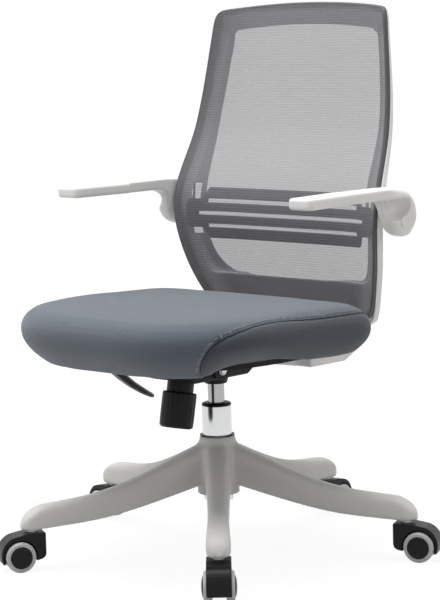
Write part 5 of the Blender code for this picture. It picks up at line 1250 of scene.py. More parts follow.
@dataclass
class Seat:
    """Upholstered cushion with a seam down each side."""

    half_width: float = 0.258
    front: float = -0.300
    rear: float = 0.135
    widest: float = -0.025
    squareness: tuple[float, float] = (3.15, 8.0)
    top: float = 0.418
    crown: float = 0.003
    bolster: float = 0.008
    bolster_ends: tuple[float, float] = (0.10, -0.05)
    front_rise: float = 0.007
    waterfall: float = 0.003
    edge_radius: float = 0.0295
    ceiling: float = 0.3519
    hem_knots: tuple[float, ...] = (0.0, 0.10, 0.34, 0.55, 0.66, 0.745, 0.81, 0.86, 0.92, 1.0)
    hem_drops: tuple[float, ...] = (
        0.0100, 0.0105, 0.0085, -0.0020, -0.0050, -0.0005, 0.0050, 0.0150, 0.0190, 0.0190
    )
    draw_in: tuple[float, float] = (0.026, 0.043)
    draw_from: tuple[float, float] = (0.45, 0.8)
    pan_inset: float = 0.046
    evening: int = 40
    slack: float = 0.0030
    voxel: float = 0.0055
    cap: float = 0.006
    pressure: float = 4.0
    frames: int = 20
    held: tuple[float, float] = (0.004, 0.022)
    fill: float = 0.8
    seam_steps: int = 420
    groove_depth: float = 0.0024
    groove_width: float = 0.0042
    thread_radius: float = 0.0008
    thread_lift: float = 0.0001
    stitch: tuple[float, float, float] = (0.0008, 0.0006, 0.0019)
    stitch_inset: float = 0.0065
    stitch_every: int = 4
    stitch_lift: float = 0.0002
    panel_edge: float = 0.0012
    panel_end: tuple[float, float] = (0.139, 0.128)
    seam: tuple[tuple[float, float, float], ...] = (
        (0.179, -0.2258, 0.3459),
        (0.187, -0.2329, 0.3553),
        (0.1977, -0.2381, 0.3692),
        (0.2073, -0.2343, 0.3849),
        (0.2146, -0.2206, 0.3958),
        (0.2222, -0.1960, 0.4028),
        (0.2268, -0.1656, 0.4064),
        (0.2320, -0.1105, 0.4078),
        (0.2390, -0.0539, 0.4078),
        (0.2430, 0.0156, 0.4085),
        (0.2391, 0.0930, 0.4089),
        (0.2280, 0.1240, 0.4060),
    )

    def plan(self, inset: Array | float, scale: float, steps: int = 200) -> Array:
        """Plan of the seat: two half superellipses that meet at the widest line.

        Args:
            inset: How far inside the outline.
            scale: Share of the way out from the middle.
            steps: Points of the outline.

        Returns:
            The outline as a (steps, 2) array.
        """
        turn = np.arange(steps) * math.tau / steps
        behind = np.sin(turn) > 0
        depth = np.where(behind, self.rear - self.widest, self.widest - self.front) - inset
        power = 2.0 / np.where(behind, self.squareness[1], self.squareness[0])
        x = (self.half_width - inset) * np.sign(np.cos(turn)) * np.abs(np.cos(turn)) ** power
        y = depth * np.sign(np.sin(turn)) * np.abs(np.sin(turn)) ** power
        return np.column_stack([x * scale, self.widest + y * scale])

    def top_height(self, plan: Array) -> Array:
        """Height of the top over a plan: raised at the sides and front, and rolling down to the front."""
        forward = np.clip((self.widest - plan[:, 1]) / (self.widest - self.front), 0.0, 1.0)
        across = np.abs(plan[:, 0]) / self.half_width
        bolster = self.bolster * across**2.5 * step_between(*self.bolster_ends, plan[:, 1])
        beside = bolster - self.crown * across**2
        return self.top + beside + self.front_rise * forward**1.5 - self.waterfall * forward**3

    def rings(self) -> Array:
        """Rings of the cushion from the middle of its top, over the rolled edge, to the recess for the pan.

        Returns:
            Points as a (rings, steps, 3) array, a little inside the final shape for the swelling.
        """
        slack = self.slack
        rim = self.plan(0.0, 1.0)
        forward = (self.rear - rim[:, 1]) / (self.rear - self.front)
        hem = self.ceiling - hermite(self.hem_knots, self.hem_drops, forward)
        front = step_between(*self.draw_from, forward)
        made = []
        for scale in np.linspace(0.0, 0.86, 10):
            plan = self.plan(slack, scale)
            made.append(np.column_stack([plan, self.top_height(plan) - slack]))
        for roll in np.radians(np.linspace(0, 90, 9)):
            plan = self.plan(slack + self.edge_radius * (1 - math.sin(roll)), 1.0)
            height = self.top_height(plan) - slack - self.edge_radius * (1 - math.cos(roll))
            made.append(np.column_stack([plan, height]))
        shoulder = made[-1][:, 2]
        behind, ahead = (self.plan(inset, 1.0) for inset in self.draw_in)
        pulled = ahead * front[:, None] + behind * (1 - front)[:, None]
        for share in np.linspace(0.15, 1.0, 7):
            plan = self.plan(slack * (1 - share), 1.0)
            plan = plan + (pulled - rim) * share**2
            made.append(np.column_stack([plan, shoulder + (hem - shoulder) * share]))
        recess = self.plan(self.pan_inset - 2 * CLEARANCE, 1.0)
        ceiling = np.full(len(recess), self.ceiling)
        middle = np.repeat([[0.0, self.widest]], len(recess), axis=0)
        for plan, height in ((recess, hem), (recess, ceiling), (middle, ceiling)):
            made.append(np.column_stack([plan, height]))
        return np.stack(made)

    def swell(self, obj: bpy.types.Object) -> None:
        """Inflate the cover with a cloth simulation, hold its underside and cap how far it moves."""
        rest = mesh_points(obj.data)
        cloth = obj.modifiers.new("cover", "CLOTH")
        cloth.settings.use_pressure = True
        cloth.settings.uniform_pressure_force = self.pressure
        cloth.settings.quality = 5
        cloth.settings.effector_weights.gravity = 0.0
        cloth.point_cache.frame_start = 1
        cloth.point_cache.frame_end = self.frames
        scene = bpy.context.scene
        for frame in range(1, self.frames + 1):
            scene.frame_set(frame)
        swollen = evaluated_mesh(obj)
        moved = mesh_points(swollen) - rest
        scene.frame_set(1)
        obj.modifiers.remove(cloth)
        bpy.data.meshes.remove(swollen)
        normals = mesh_normals(obj.data)
        rise = np.clip(np.einsum("ij,ij->i", moved, normals), 0.0, self.cap)
        edges = np.empty(len(obj.data.edges) * 2, np.int64)
        obj.data.edges.foreach_get("vertices", edges)
        one, other = edges.reshape(-1, 2).T
        shares = np.bincount(one, minlength=len(rest)) + np.bincount(other, minlength=len(rest))
        for _ in range(self.evening):
            total = np.bincount(one, rise[other], len(rest)) + np.bincount(other, rise[one], len(rest))
            rise = 0.5 * (rise + total / np.maximum(shares, 1))
        free = step_between(self.ceiling + self.held[0], self.ceiling + self.held[1], rest[:, 2])
        set_points(obj.data, rest + normals * (rise * free)[:, None])

    def build(self, shop: Workshop) -> None:
        """Make the cushion, press its seams in and sew them."""
        rings = self.rings()
        mesh = mesh_from("seat_cover", rings, grid_faces(*rings.shape[:2]))
        mesh.transform(Matrix.Translation(shop.axis))
        cover = rebuilt("seat_cover", mesh, self.voxel)
        self.swell(cover)
        fine = cover.modifiers.new("fine", "SUBSURF")
        fine.levels = 1
        fine.render_levels = 1
        final = evaluated_mesh(cover)
        cover.modifiers.remove(fine)
        cover.data = final
        final.shade_smooth()
        runs = [smooth_run(self.seam, self.seam_steps) * (side.value, 1, 1) + shop.axis for side in Side]
        runs = [self.onto(cover, run)[0] for run in runs]
        self.press(cover, runs)
        self.mark_panels(cover, shop)
        shop.settle(cover, SEAT, "upper", ("seat_cushion",))
        for side, run in zip(Side, runs):
            self.sew(shop, cover, side, run)

    def mark_panels(self, cover: bpy.types.Object, shop: Workshop) -> None:
        """Write where the side panels are, outside and below the seams: the mask of their painted shade."""
        points = mesh_points(cover.data) - shop.axis
        x, y, z = np.abs(points[:, 0]), points[:, 1], points[:, 2]
        seam = np.array(self.seam)
        along = seam[4:]
        beside = x - np.interp(y, along[:, 1], along[:, 0]) - z + np.interp(y, along[:, 1], along[:, 2])
        corner = x - np.interp(z, seam[:5, 2], seam[:5, 0])
        outside = np.where(y > seam[4, 1], beside, corner)
        # Painted shade mask: one on the side panels.
        panel = step_between(-self.panel_edge, self.panel_edge, outside) * step_between(*self.panel_end, y)
        write_attribute(cover.data, "panel", panel)

    @staticmethod
    def onto(cover: bpy.types.Object, run: Array) -> tuple[Array, Array]:
        """Return the points on the cover that are nearest to a run, and its normals there."""
        tree = BVHTree.FromObject(cover, bpy.context.evaluated_depsgraph_get())
        found = [tree.find_nearest(Vector(point)) for point in run]
        return np.array([hit[0] for hit in found]), np.array([hit[1] for hit in found])

    def press(self, cover: bpy.types.Object, runs: list[Array]) -> None:
        """Press a groove along each run into the cover: depth falls off as a bell with the distance."""
        points, normals = mesh_points(cover.data), mesh_normals(cover.data)
        depth = np.zeros(len(points))
        for run in runs:
            near = np.full(len(points), np.inf)
            for part in np.array_split(run, 20):
                near = np.minimum(near, np.linalg.norm(points[:, None] - part[None], axis=2).min(axis=1))
            depth = np.maximum(depth, self.groove_depth * np.exp(-((near / self.groove_width) ** 2)))
        set_points(cover.data, points - normals * depth[:, None])

    def sew(self, shop: Workshop, cover: bpy.types.Object, side: Side, run: Array) -> None:
        """Lay a thread in a groove and a row of stitches beside it.

        Args:
            shop: The workshop.
            cover: The cushion.
            side: The chair's side.
            run: The groove's line.
        """
        line, normal = self.onto(cover, run)
        points, faces = tube(line + normal * self.thread_lift, self.thread_radius, 10)
        place = Matrix.Identity(4)
        shop.piece(f"seat_seam_{side.word}", points, faces, THREAD, "upper", (), place)
        ahead = np.gradient(line, axis=0)
        ahead /= np.linalg.norm(ahead, axis=1, keepdims=True)
        inward = np.cross(ahead, normal) * side.value
        row, row_normal = self.onto(cover, line - inward * self.stitch_inset)
        some = slice(self.stitch_every, -self.stitch_every, self.stitch_every)
        stitch, heading, lift = row[some], ahead[some], row_normal[some]
        across = np.cross(heading, lift)
        outline = [(0.0, 1.0), (0.6, 0.8), (1.0, 0.3), (1.0, -0.3), (0.6, -0.8), (0.0, -1.0)]
        shape = turned(np.array(outline), 8)
        scaled = sum(
            shape[None, ..., axis, None] * self.stitch[axis] * way[:, None, None]
            for axis, way in enumerate((across, lift, heading))
        )
        whole = stitch[:, None, None] + lift[:, None, None] * self.stitch_lift + scaled
        one = grid_faces(*shape.shape[:2])
        count = shape.shape[0] * shape.shape[1]
        faces = (one[None] + (np.arange(len(stitch)) * count)[:, None, None]).reshape(-1, 4)
        shop.piece(f"seat_stitches_{side.word}", whole, faces, STITCH, "upper", (), place)


@dataclass
class Back:
    """Mesh back: white shell, grey frame, knitted mesh and lumbar support."""

    bottom: float = 0.356
    hip: float = 0.556
    top: float = 0.8925
    arch: float = 0.011
    low_share: float = 0.50
    high_share: float = 0.42
    half_widths: tuple[float, ...] = (0.1690, 0.2100, 0.2265, 0.2140, 0.1885)
    corner_rise: float = 0.031
    setbacks: tuple[float, ...] = (0.1960, 0.1590, 0.1435, 0.1930, 0.225)
    hollow: float = 0.0275
    hollow_power: float = 4.8
    rounding: float = 0.030
    samples: int = 60
    bands: tuple[float, float, float] = (0.022, 0.081, 0.037)
    bead: float = 0.0097
    ledges: tuple[float, float] = (0.0085, 0.0018)
    depth: float = 0.009
    shell_knots: tuple[float, ...] = (0.356, 0.556, 0.700, 0.889)
    shell_depths: tuple[float, ...] = (0.013, 0.0150, 0.0085, 0.0030)
    shell_proud: tuple[float, float] = (0.002, 0.010)
    shell_bands: tuple[float, float, float] = (0.018, 0.060, 0.022)
    shell_edge: float = 0.0022
    shell_edge_share: float = 2.3
    bracket_voxel: float = 0.0014
    bracket_rounds: int = 6
    mesh_inset: float = 0.0045
    mesh_offset: float = -0.0006
    guide_radius: float = 0.002
    guide_inset: float = 0.0168
    guide_depth: float = 0.0120
    guide_heights: tuple[float, float] = (0.503, 0.602)
    guide_bend: tuple[float, float, float] = (0.004, 0.0115, 0.0012)
    wall_heights: tuple[float, ...] = (
        0.437, 0.442, 0.452, 0.465, 0.493, 0.521, 0.564, 0.606, 0.648, 0.69, 0.80, 0.845, 0.857
    )
    wall_lengths: tuple[float, ...] = (
        0.0440, 0.0425, 0.0367, 0.0312, 0.0268, 0.0266, 0.0293, 0.0263, 0.0203, 0.0145, 0.0127, 0.0118, 0.0080
    )
    wall_slopes: tuple[float, ...] = (0.72, 0.90, 0.70, 0.44)
    wall_levels: tuple[float, float] = (0.50, 0.62)
    wall_ends: tuple[float, float] = (0.075, 0.172)
    wall_gap: float = 0.0006
    wall_thickness: float = 0.0022
    # Painted highlight in the wall's channel, and painted shade low on the wall.
    wall_pale: tuple[float, float, float] = (0.30, 0.16, 0.22)
    wall_pale_heights: tuple[float, float] = (0.67, 0.45)
    wall_shade: float = 0.35
    wall_shade_heights: tuple[float, float] = (0.52, 0.46)
    opening: tuple[float, float] = (0.509, 0.596)
    opening_share: tuple[float, float] = (0.06, 0.70)
    opening_gap: tuple[float, float] = (0.532, 0.556)
    # Where the mesh frame's painted light and shade fall.
    tone_sides: tuple[float, float] = (0.74, 0.86)
    tone_bead: tuple[float, float] = (0.0002, 0.0007)
    tone_top: tuple[float, float] = (0.03, 0.055)
    tone_bottom: tuple[float, float] = (0.085, 0.06)
    tone_bottom_dark: float = 0.85
    tone_mesh_edge: tuple[float, float] = (0.0045, 0.0065)
    tone_rim: float = 0.32
    tone_rim_heights: tuple[float, float] = (0.56, 0.68)
    tone_level: float = 0.9
    lumbar_height: float = 0.5437
    lumbar_half: float = 0.0437
    lumbar_tab_half: float = 0.0245
    lumbar_reach: float = 0.2070
    lumbar_corner: float = 0.008
    lumbar_shoulder: tuple[float, float] = (0.167, 0.179)
    lumbar_thickness: float = 0.004
    lumbar_flat: tuple[float, float] = (0.160, 0.1615)
    lumbar_border: float = 0.004
    lumbar_offsets: tuple[float, float] = (0.0055, 0.0040)
    lumbar_slot: float = 0.0072
    slot_lengths: tuple[float, float] = (0.1845, 0.168)
    lug_radius: float = 0.012
    lug_length: float = 0.011
    lug_edge: float = 0.001
    lug_proud: float = 0.002

    def knots(self) -> Array:
        """Heights at which the outline and the setback are given."""
        low = self.bottom + self.low_share * (self.hip - self.bottom)
        high = self.hip + self.high_share * (self.top - self.hip)
        return np.array([self.bottom, low, self.hip, high, self.top])

    def half_width(self, height: Array) -> Array:
        """Half width at a height."""
        return hermite(self.knots(), self.half_widths, height)

    def setback(self, x: Array, height: Array) -> Array:
        """Setback of the mesh surface: an S in side view, hollow across."""
        edge = hermite(self.knots(), self.setbacks, height)
        share = np.clip(np.asarray(x) / self.half_width(height), -1.0, 1.0)
        return edge + self.hollow * (1.0 - np.abs(share) ** self.hollow_power)

    def loop(
        self, side_inset: float, bottom_inset: float, top_inset: float, corner_rise: float = 0.0
    ) -> Array:
        """Closed outline seen from the front with rounded corners, densely sampled.

        Args:
            side_inset: Inset at the sides.
            bottom_inset: Inset at the bottom.
            top_inset: Inset at the top.
            corner_rise: How far the bottom edge rises to its corners.

        Returns:
            The outline as an (n, 2) array of x and height.
        """
        count = self.samples
        low, high = self.bottom + bottom_inset, self.top - top_inset
        side = np.linspace(low + corner_rise, high, 2 * count)
        width = self.half_width(side) - side_inset
        bottom = np.linspace(0.0, width[0], count, endpoint=False)
        top = np.linspace(width[-1], 0.0, count)[1:]
        arch = high + self.arch * (1.0 - (top / width[-1]) ** 2)
        parts = [
            np.column_stack([bottom, low + corner_rise * (bottom / width[0]) ** 3]),
            np.column_stack([width, side]),
            np.column_stack([top, arch]),
        ]
        right = np.concatenate(parts)
        whole = np.concatenate([right, right[-2:0:-1] * (-1, 1)])
        spacing = np.linalg.norm(np.diff(whole, axis=0), axis=1).mean()
        reach = max(1, round(self.rounding / spacing))
        window = np.hanning(2 * reach + 1)
        window /= window.sum()
        padded = np.concatenate([whole[-reach:], whole, whole[:reach]])
        return np.column_stack([np.convolve(padded[:, axis], window, mode="valid") for axis in (0, 1)])

    def on_surface(self, outline: Array, offset: Array | float) -> Array:
        """Points of an outline on the mesh surface, moved back by an offset."""
        setback = self.setback(outline[..., 0], outline[..., 1]) + offset
        return np.stack([outline[..., 0], setback, outline[..., 1]], axis=-1)

    def outlines(self) -> tuple[Array, Array, Array, Array]:
        """Outer and inner outline of the mesh frame, the band's width and how level the outline runs."""
        outer, inner = self.loop(0.0, 0.0, 0.0, self.corner_rise), self.loop(*self.bands)
        run = np.roll(outer, -1, axis=0) - np.roll(outer, 1, axis=0)
        level = (run[:, 0] / np.linalg.norm(run, axis=1)) ** 2
        return outer, inner, np.linalg.norm(inner - outer, axis=1), level

    def ledge(self, level: Array) -> Array:
        """Depth of the frame's ledge behind the mesh: deep at the sides, shallow along the top and bottom."""
        return self.ledges[0] + (self.ledges[1] - self.ledges[0]) * level

    def frame_section(self, width: Array, level: Array) -> tuple[Array, Array]:
        """Section of the mesh frame: a rounded bead at the rim, and a ledge inside it.

        Args:
            width: The band's width at each station.
            level: How level the outline runs at each station.

        Returns:
            Distance in from the outer edge and offset behind the mesh surface, each (stations, points).
        """
        bead = self.bead
        rim = [(0.0, 0.009), (0.0, 0.0042), (0.0004, 0.0022), (0.0014, 0.0007), (0.003, 0.0001)]
        rim += [(0.005, 0.0003), (bead - 0.0019, 0.0005), (bead - 0.0009, 0.0008), (bead - 0.0003, 0.0016)]
        drop = [(bead - 0.0001, 0.6), (bead + 0.0001, 0.92), (bead + 0.0009, 1.0), (0.014, 1.0)]
        rise = [(-0.0045, 0.0), (-0.0022, 0.0), (-0.0006, 0.05), (0.0, 0.2), (0.0, 0.5), (-0.0012, 1.0)]
        start, step, end = np.array(rim), np.array(drop), np.array(rise)
        floor = self.ledge(level)[:, None]
        behind = [
            np.repeat(start[None, :, 1], len(width), axis=0),
            start[-1, 1] + (floor - start[-1, 1]) * step[None, :, 1],
            floor + (self.depth - floor) * end[None, :, 1],
        ]
        across = [
            np.repeat(np.concatenate([start[:, 0], step[:, 0]])[None], len(width), axis=0),
            width[:, None] + end[None, :, 0],
        ]
        return np.concatenate(across, axis=1), np.concatenate(behind, axis=1)

    def build(self, shop: Workshop) -> None:
        """Make the back's pieces."""
        self.build_frame(shop)
        self.build_shell(shop)
        self.build_mesh(shop)
        self.build_lumbar(shop)
        voxel, rounds = self.bracket_voxel, self.bracket_rounds
        shop.soft_copy("back_bracket", "back_bracket_moulding", voxel, rounds, WHITE, "upper")

    def build_frame(self, shop: Workshop) -> None:
        """Carry the frame's section round its outline, and add the walls behind it and the guide wires."""
        outer, inner, width, level = self.outlines()
        across, behind = self.frame_section(width, level)
        plan = outer[:, None] + (inner - outer)[:, None] * (across / width[:, None])[..., None]
        points = self.on_surface(plan, behind)
        faces = grid_faces(*points.shape[:2], wrap_rows=True)
        frame = shop.piece("mesh_frame_moulding", points, faces, FRAME_GREY, "upper", ("mesh_frame",))
        self.tone(frame, shop, outer)
        share = np.linspace(0.0, 1.0, 13)
        wall = self.wall_surface(inner, level, share)
        faces = grid_faces(*wall.shape[:2], wrap_columns=False)
        height = wall[..., 2].reshape(-1)[faces].mean(axis=1)
        part = np.broadcast_to(share, wall.shape[:2]).reshape(-1)[faces].mean(axis=1)
        hole = (height > self.opening[0]) & (height < self.opening[1])
        through = (height > self.opening_gap[0]) & (height < self.opening_gap[1])
        hole &= (part > self.opening_share[0]) & (through | (part < self.opening_share[1]))
        # Painted highlight along the wall's channel, shorter lower down.
        *highlight_ends, longer = self.wall_pale
        lower = step_between(*self.wall_pale_heights, wall[..., 2])
        pale = step_between(*highlight_ends, share[None] - longer * lower)
        # Painted light: the wall under the mesh takes the lighter grey, with painted shade towards the
        # bottom.
        covered = 1.0 - self.wall_shade * step_between(*self.wall_shade_heights, wall[..., 2])
        for side in Side:
            name = f"mesh_frame_wall_{side.word}"
            piece = shop.piece(name, wall * (side.value, 1, 1), faces[~hole], FRAME_GREY, "upper")
            write_attribute(piece.data, "covered", covered)
            write_attribute(piece.data, "channel", pale)
            thicken(piece, self.wall_thickness)
            rod, rod_faces = tube(self.guide_run() * (side.value, 1, 1), self.guide_radius, 16)
            shop.piece(f"lumbar_guide_{side.word}", rod, rod_faces, GREY, "upper")

    def wall_surface(self, inner: Array, level: Array, share: Array) -> Array:
        """Wall that runs in and back from the ledge at the sitter's left, long at the hips.

        Args:
            inner: The ledge's inner outline.
            level: How level the outline runs.
            share: Shares of the wall's length.

        Returns:
            Points as a (stations, shares, 3) array.
        """
        x, z = inner.T
        lowest, highest = self.wall_heights[0], self.wall_heights[-1]
        length = hermite(self.wall_heights, self.wall_lengths, np.clip(z, lowest, highest))
        length = length * np.where(z < self.hip, step_between(*self.wall_ends, x), z < highest)
        kept = (length > 0.001) & (x > 0.001)
        x, z, reach = x[kept, None], z[kept, None], length[kept, None] * share[None]
        turn = step_between(*self.wall_levels, z)
        inward = self.wall_slopes[0] + (self.wall_slopes[1] - self.wall_slopes[0]) * turn
        rearward = self.wall_slopes[2] + (self.wall_slopes[3] - self.wall_slopes[2]) * turn
        setback = self.setback(x, z) + self.ledge(level[kept, None]) + self.wall_gap + rearward * reach
        return np.stack([x - inward * reach, setback, np.broadcast_to(z, reach.shape)], axis=-1)

    def guide_run(self) -> Array:
        """Line of the sitter's left guide wire: straight, with its ends bent forward to the ledge."""
        heights = np.array(self.guide_heights)
        x = float(self.half_width(heights).min()) - self.guide_inset
        ends = np.column_stack([np.full(2, x), self.setback(np.full(2, x), heights), heights])
        out, up = np.array([0.0, 1.0, 0.0]), np.array([0.0, 0.0, 1.0])
        bend, deep, rise = self.guide_bend
        straight = np.linspace(ends[0] + bend * up, ends[1] - bend * up, 8) + self.guide_depth * out
        feet = [ends[0] + self.depth * out, ends[0] + deep * out + rise * up]
        tops = [ends[1] + deep * out - rise * up, ends[1] + self.depth * out]
        return np.concatenate([feet, straight, tops])

    def tone(self, obj: bpy.types.Object, shop: Workshop, outer: Array) -> None:
        """Write the frame's painted light and shade: a lighter grey where the mesh covers it, darker low
        down, lighter higher up the side rims, and a painted highlight along its channel.

        Args:
            obj: The mesh frame.
            shop: The workshop.
            outer: The frame's outer outline.
        """
        points = mesh_points(obj.data) - shop.axis
        plan, height = points[:, [0, 2]], points[:, 2]
        near = np.linalg.norm(plan[:, None] - outer[None], axis=2).min(axis=1)
        beside = step_between(*self.tone_sides, np.abs(points[:, 0]) / self.half_width(height))
        inside = step_between(self.bead - self.tone_bead[0], self.bead + self.tone_bead[1], near)
        below_top = step_between(*(self.top - drop for drop in self.tone_top), height)
        # Painted highlight: a light stripe inside the bead of the side bands, ending below the top.
        stripe = inside * beside * below_top
        # Painted shade: the lighter grey fades out along the bottom band.
        floor = step_between(*(self.bottom + rise for rise in self.tone_bottom), height) * (1.0 - beside)
        # Painted light: a lighter grey where the mesh covers the frame, offsetting the mesh's shadow.
        covered = step_between(*self.tone_mesh_edge, near) * (1.0 - self.tone_bottom_dark * floor)
        # Painted light: the side rims get lighter higher up.
        rim = self.tone_rim * step_between(*self.tone_rim_heights, height)
        covered = covered * np.where(beside > 0.5, np.maximum(inside, rim), self.tone_level)
        write_attribute(obj.data, "covered", covered)
        write_attribute(obj.data, "channel", stripe)

    def build_lumbar(self, shop: Workshop) -> None:
        """Make the slotted band, curved as the mesh is, with a narrower tab at each end."""
        flat, past = self.lumbar_flat
        x = np.concatenate([np.linspace(0.0, flat, 40), np.linspace(past, self.lumbar_reach, 28)])
        x = np.concatenate([-x[:0:-1], x])
        narrow = step_between(*self.lumbar_shoulder, np.abs(x))
        half = self.lumbar_half + (self.lumbar_tab_half - self.lumbar_half) * narrow
        past = np.maximum(0.0, np.abs(x) - self.lumbar_reach + self.lumbar_corner)
        half = half - self.lumbar_corner + np.sqrt(np.maximum(0.0, self.lumbar_corner**2 - past**2))
        pitch = self.lumbar_half / 2
        reach = self.lumbar_slot / 2
        fixed = np.array([slot * pitch + edge * reach for slot in (-1, 0, 1) for edge in (-1, 1)])
        body = np.concatenate([np.linspace(fixed[i], fixed[i + 1], 5)[:-1] for i in range(5)] + [fixed[-1:]])
        share = np.linspace(0.0, 1.0, 7)[1:, None]
        middle = body[:, None] * np.minimum(1.0, (half - self.lumbar_border) / fixed[-1])[None]
        upper = middle[-1] + (half - middle[-1]) * share
        lower = middle[0] + (-half - middle[0]) * share[::-1]
        rows = np.concatenate([lower, middle, upper])
        across = np.repeat(x[None], len(rows), axis=0)
        offset = self.lumbar_offsets[0] + self.lumbar_offsets[1] * (rows / self.lumbar_half) ** 2
        setback = self.setback(across, self.lumbar_height + rows) + offset
        points = np.stack([across, setback, self.lumbar_height + rows], axis=-1)
        faces = grid_faces(*points.shape[:2], wrap_columns=False)
        centre = points.reshape(-1, 3)[faces].mean(axis=1) - (0.0, 0.0, self.lumbar_height)
        level = np.abs((centre[:, 2] + pitch / 2) % pitch - pitch / 2)
        length = np.where(np.abs(centre[:, 2]) > pitch / 2, self.slot_lengths[1], self.slot_lengths[0])
        hole = (level < reach) & (np.abs(centre[:, 2]) < 1.5 * pitch)
        hole &= np.abs(centre[:, 0]) < length
        lumbar = shop.piece("lumbar_moulding", points, faces[~hole], GREY, "lumbar", ("lumbar_support",))
        thicken(lumbar, self.lumbar_thickness)

    def build_shell(self, shop: Workshop) -> None:
        """Carry a rounded section behind the mesh frame, and add the lugs that hold the arms."""
        outer, inner, width, level = self.outlines()
        low = outer[:, 1] < self.hip
        proud = self.shell_proud[0] + (np.where(low, self.shell_proud[1], 0.0) - self.shell_proud[0]) * level
        wide = np.where(low, self.shell_bands[1], self.shell_bands[2])
        band = self.shell_bands[0] + (wide - self.shell_bands[0]) * level
        depth = hermite(self.shell_knots, self.shell_depths, outer[:, 1])
        edge = np.minimum(self.shell_edge, depth / self.shell_edge_share)
        turn = np.linspace(0.0, math.pi / 2, 5)
        sine, cosine = np.sin(turn), np.cos(turn)
        start, end = -proud, band - proud
        corners = [
            (start[:, None] + edge[:, None] * (1 - sine), edge[:, None] * (1 - cosine)),
            (start[:, None] + edge[:, None] * (1 - cosine), depth[:, None] - edge[:, None] * (1 - sine)),
            (end[:, None] - edge[:, None] * (1 - sine), depth[:, None] - edge[:, None] * (1 - cosine)),
            (end[:, None] - edge[:, None] * (1 - cosine), edge[:, None] * (1 - sine)),
        ]
        across = np.concatenate([part[0] for part in corners], axis=1)
        back = np.concatenate([part[1] for part in corners], axis=1)
        rear_outer, rear_inner = self.on_surface(outer, self.depth), self.on_surface(inner, self.depth)
        share = (across / width[:, None])[..., None]
        points = rear_outer[:, None] + (rear_inner - rear_outer)[:, None] * share
        points[..., 1] += CLEARANCE + back
        faces = grid_faces(*points.shape[:2], wrap_rows=True)
        shop.piece("back_shell_moulding", points, faces, WHITE, "upper", ("back_shell",))
        lug_outer = float(outer[:, 0].max()) + self.shell_proud[0] + self.lug_proud - CLEARANCE
        lug = [(0.0, 0.0), (self.lug_radius, 0.0), (self.lug_radius, self.lug_length), (0.0, self.lug_length)]
        for side in Side:
            point = (side.value * (lug_outer - self.lug_length), *ARM_PIVOT)
            place = shop.place(point, side.value * math.pi / 2)
            shop.turned_piece(f"arm_lug_{side.word}", lug, self.lug_edge, WHITE, "upper", (), place, False)

    def build_mesh(self, shop: Workshop) -> None:
        """Stretch the knit over the frame, as rings that shrink to the middle of the back."""
        outer, inner, width, _ = self.outlines()
        edge = outer + (inner - outer) * (self.mesh_inset / width)[:, None]
        middle = np.array([0.0, (self.bottom + self.top) / 2])
        share = np.concatenate([np.linspace(0.0, 0.8, 26), np.linspace(0.82, 1.0, 16)])
        plan = middle + (edge - middle)[None] * share[:, None, None]
        points = self.on_surface(plan, self.mesh_offset)
        faces = grid_faces(*points.shape[:2])
        cloth = shop.piece("back_mesh_knit", points, faces, MESH, "upper", ("back_mesh",))
        heights = np.linspace(self.bottom, self.top + self.arch, 400)
        setback = hermite(self.knots(), self.setbacks, np.minimum(heights, self.top))
        length = np.concatenate([[0.0], np.cumsum(np.hypot(np.diff(heights), np.diff(setback)))])
        mesh = cloth.data
        flat = mesh_points(mesh) - shop.axis
        numbers = np.empty(len(mesh.loops), np.int64)
        mesh.loops.foreach_get("vertex_index", numbers)
        laid = np.column_stack([flat[:, 0], np.interp(flat[:, 2], heights, length)])[numbers]
        mesh.uv_layers.new(name="cloth").data.foreach_set("uv", laid.astype(np.float32).ravel())
        x, z = edge.T
        area = 0.5 * abs(float(np.sum(x * np.roll(z, -1) - z * np.roll(x, -1))))
        size = (2 * float(edge[:, 0].max()), float(edge[:, 1].max() - edge[:, 1].min()))
        area = min(area, size[0] * size[1])


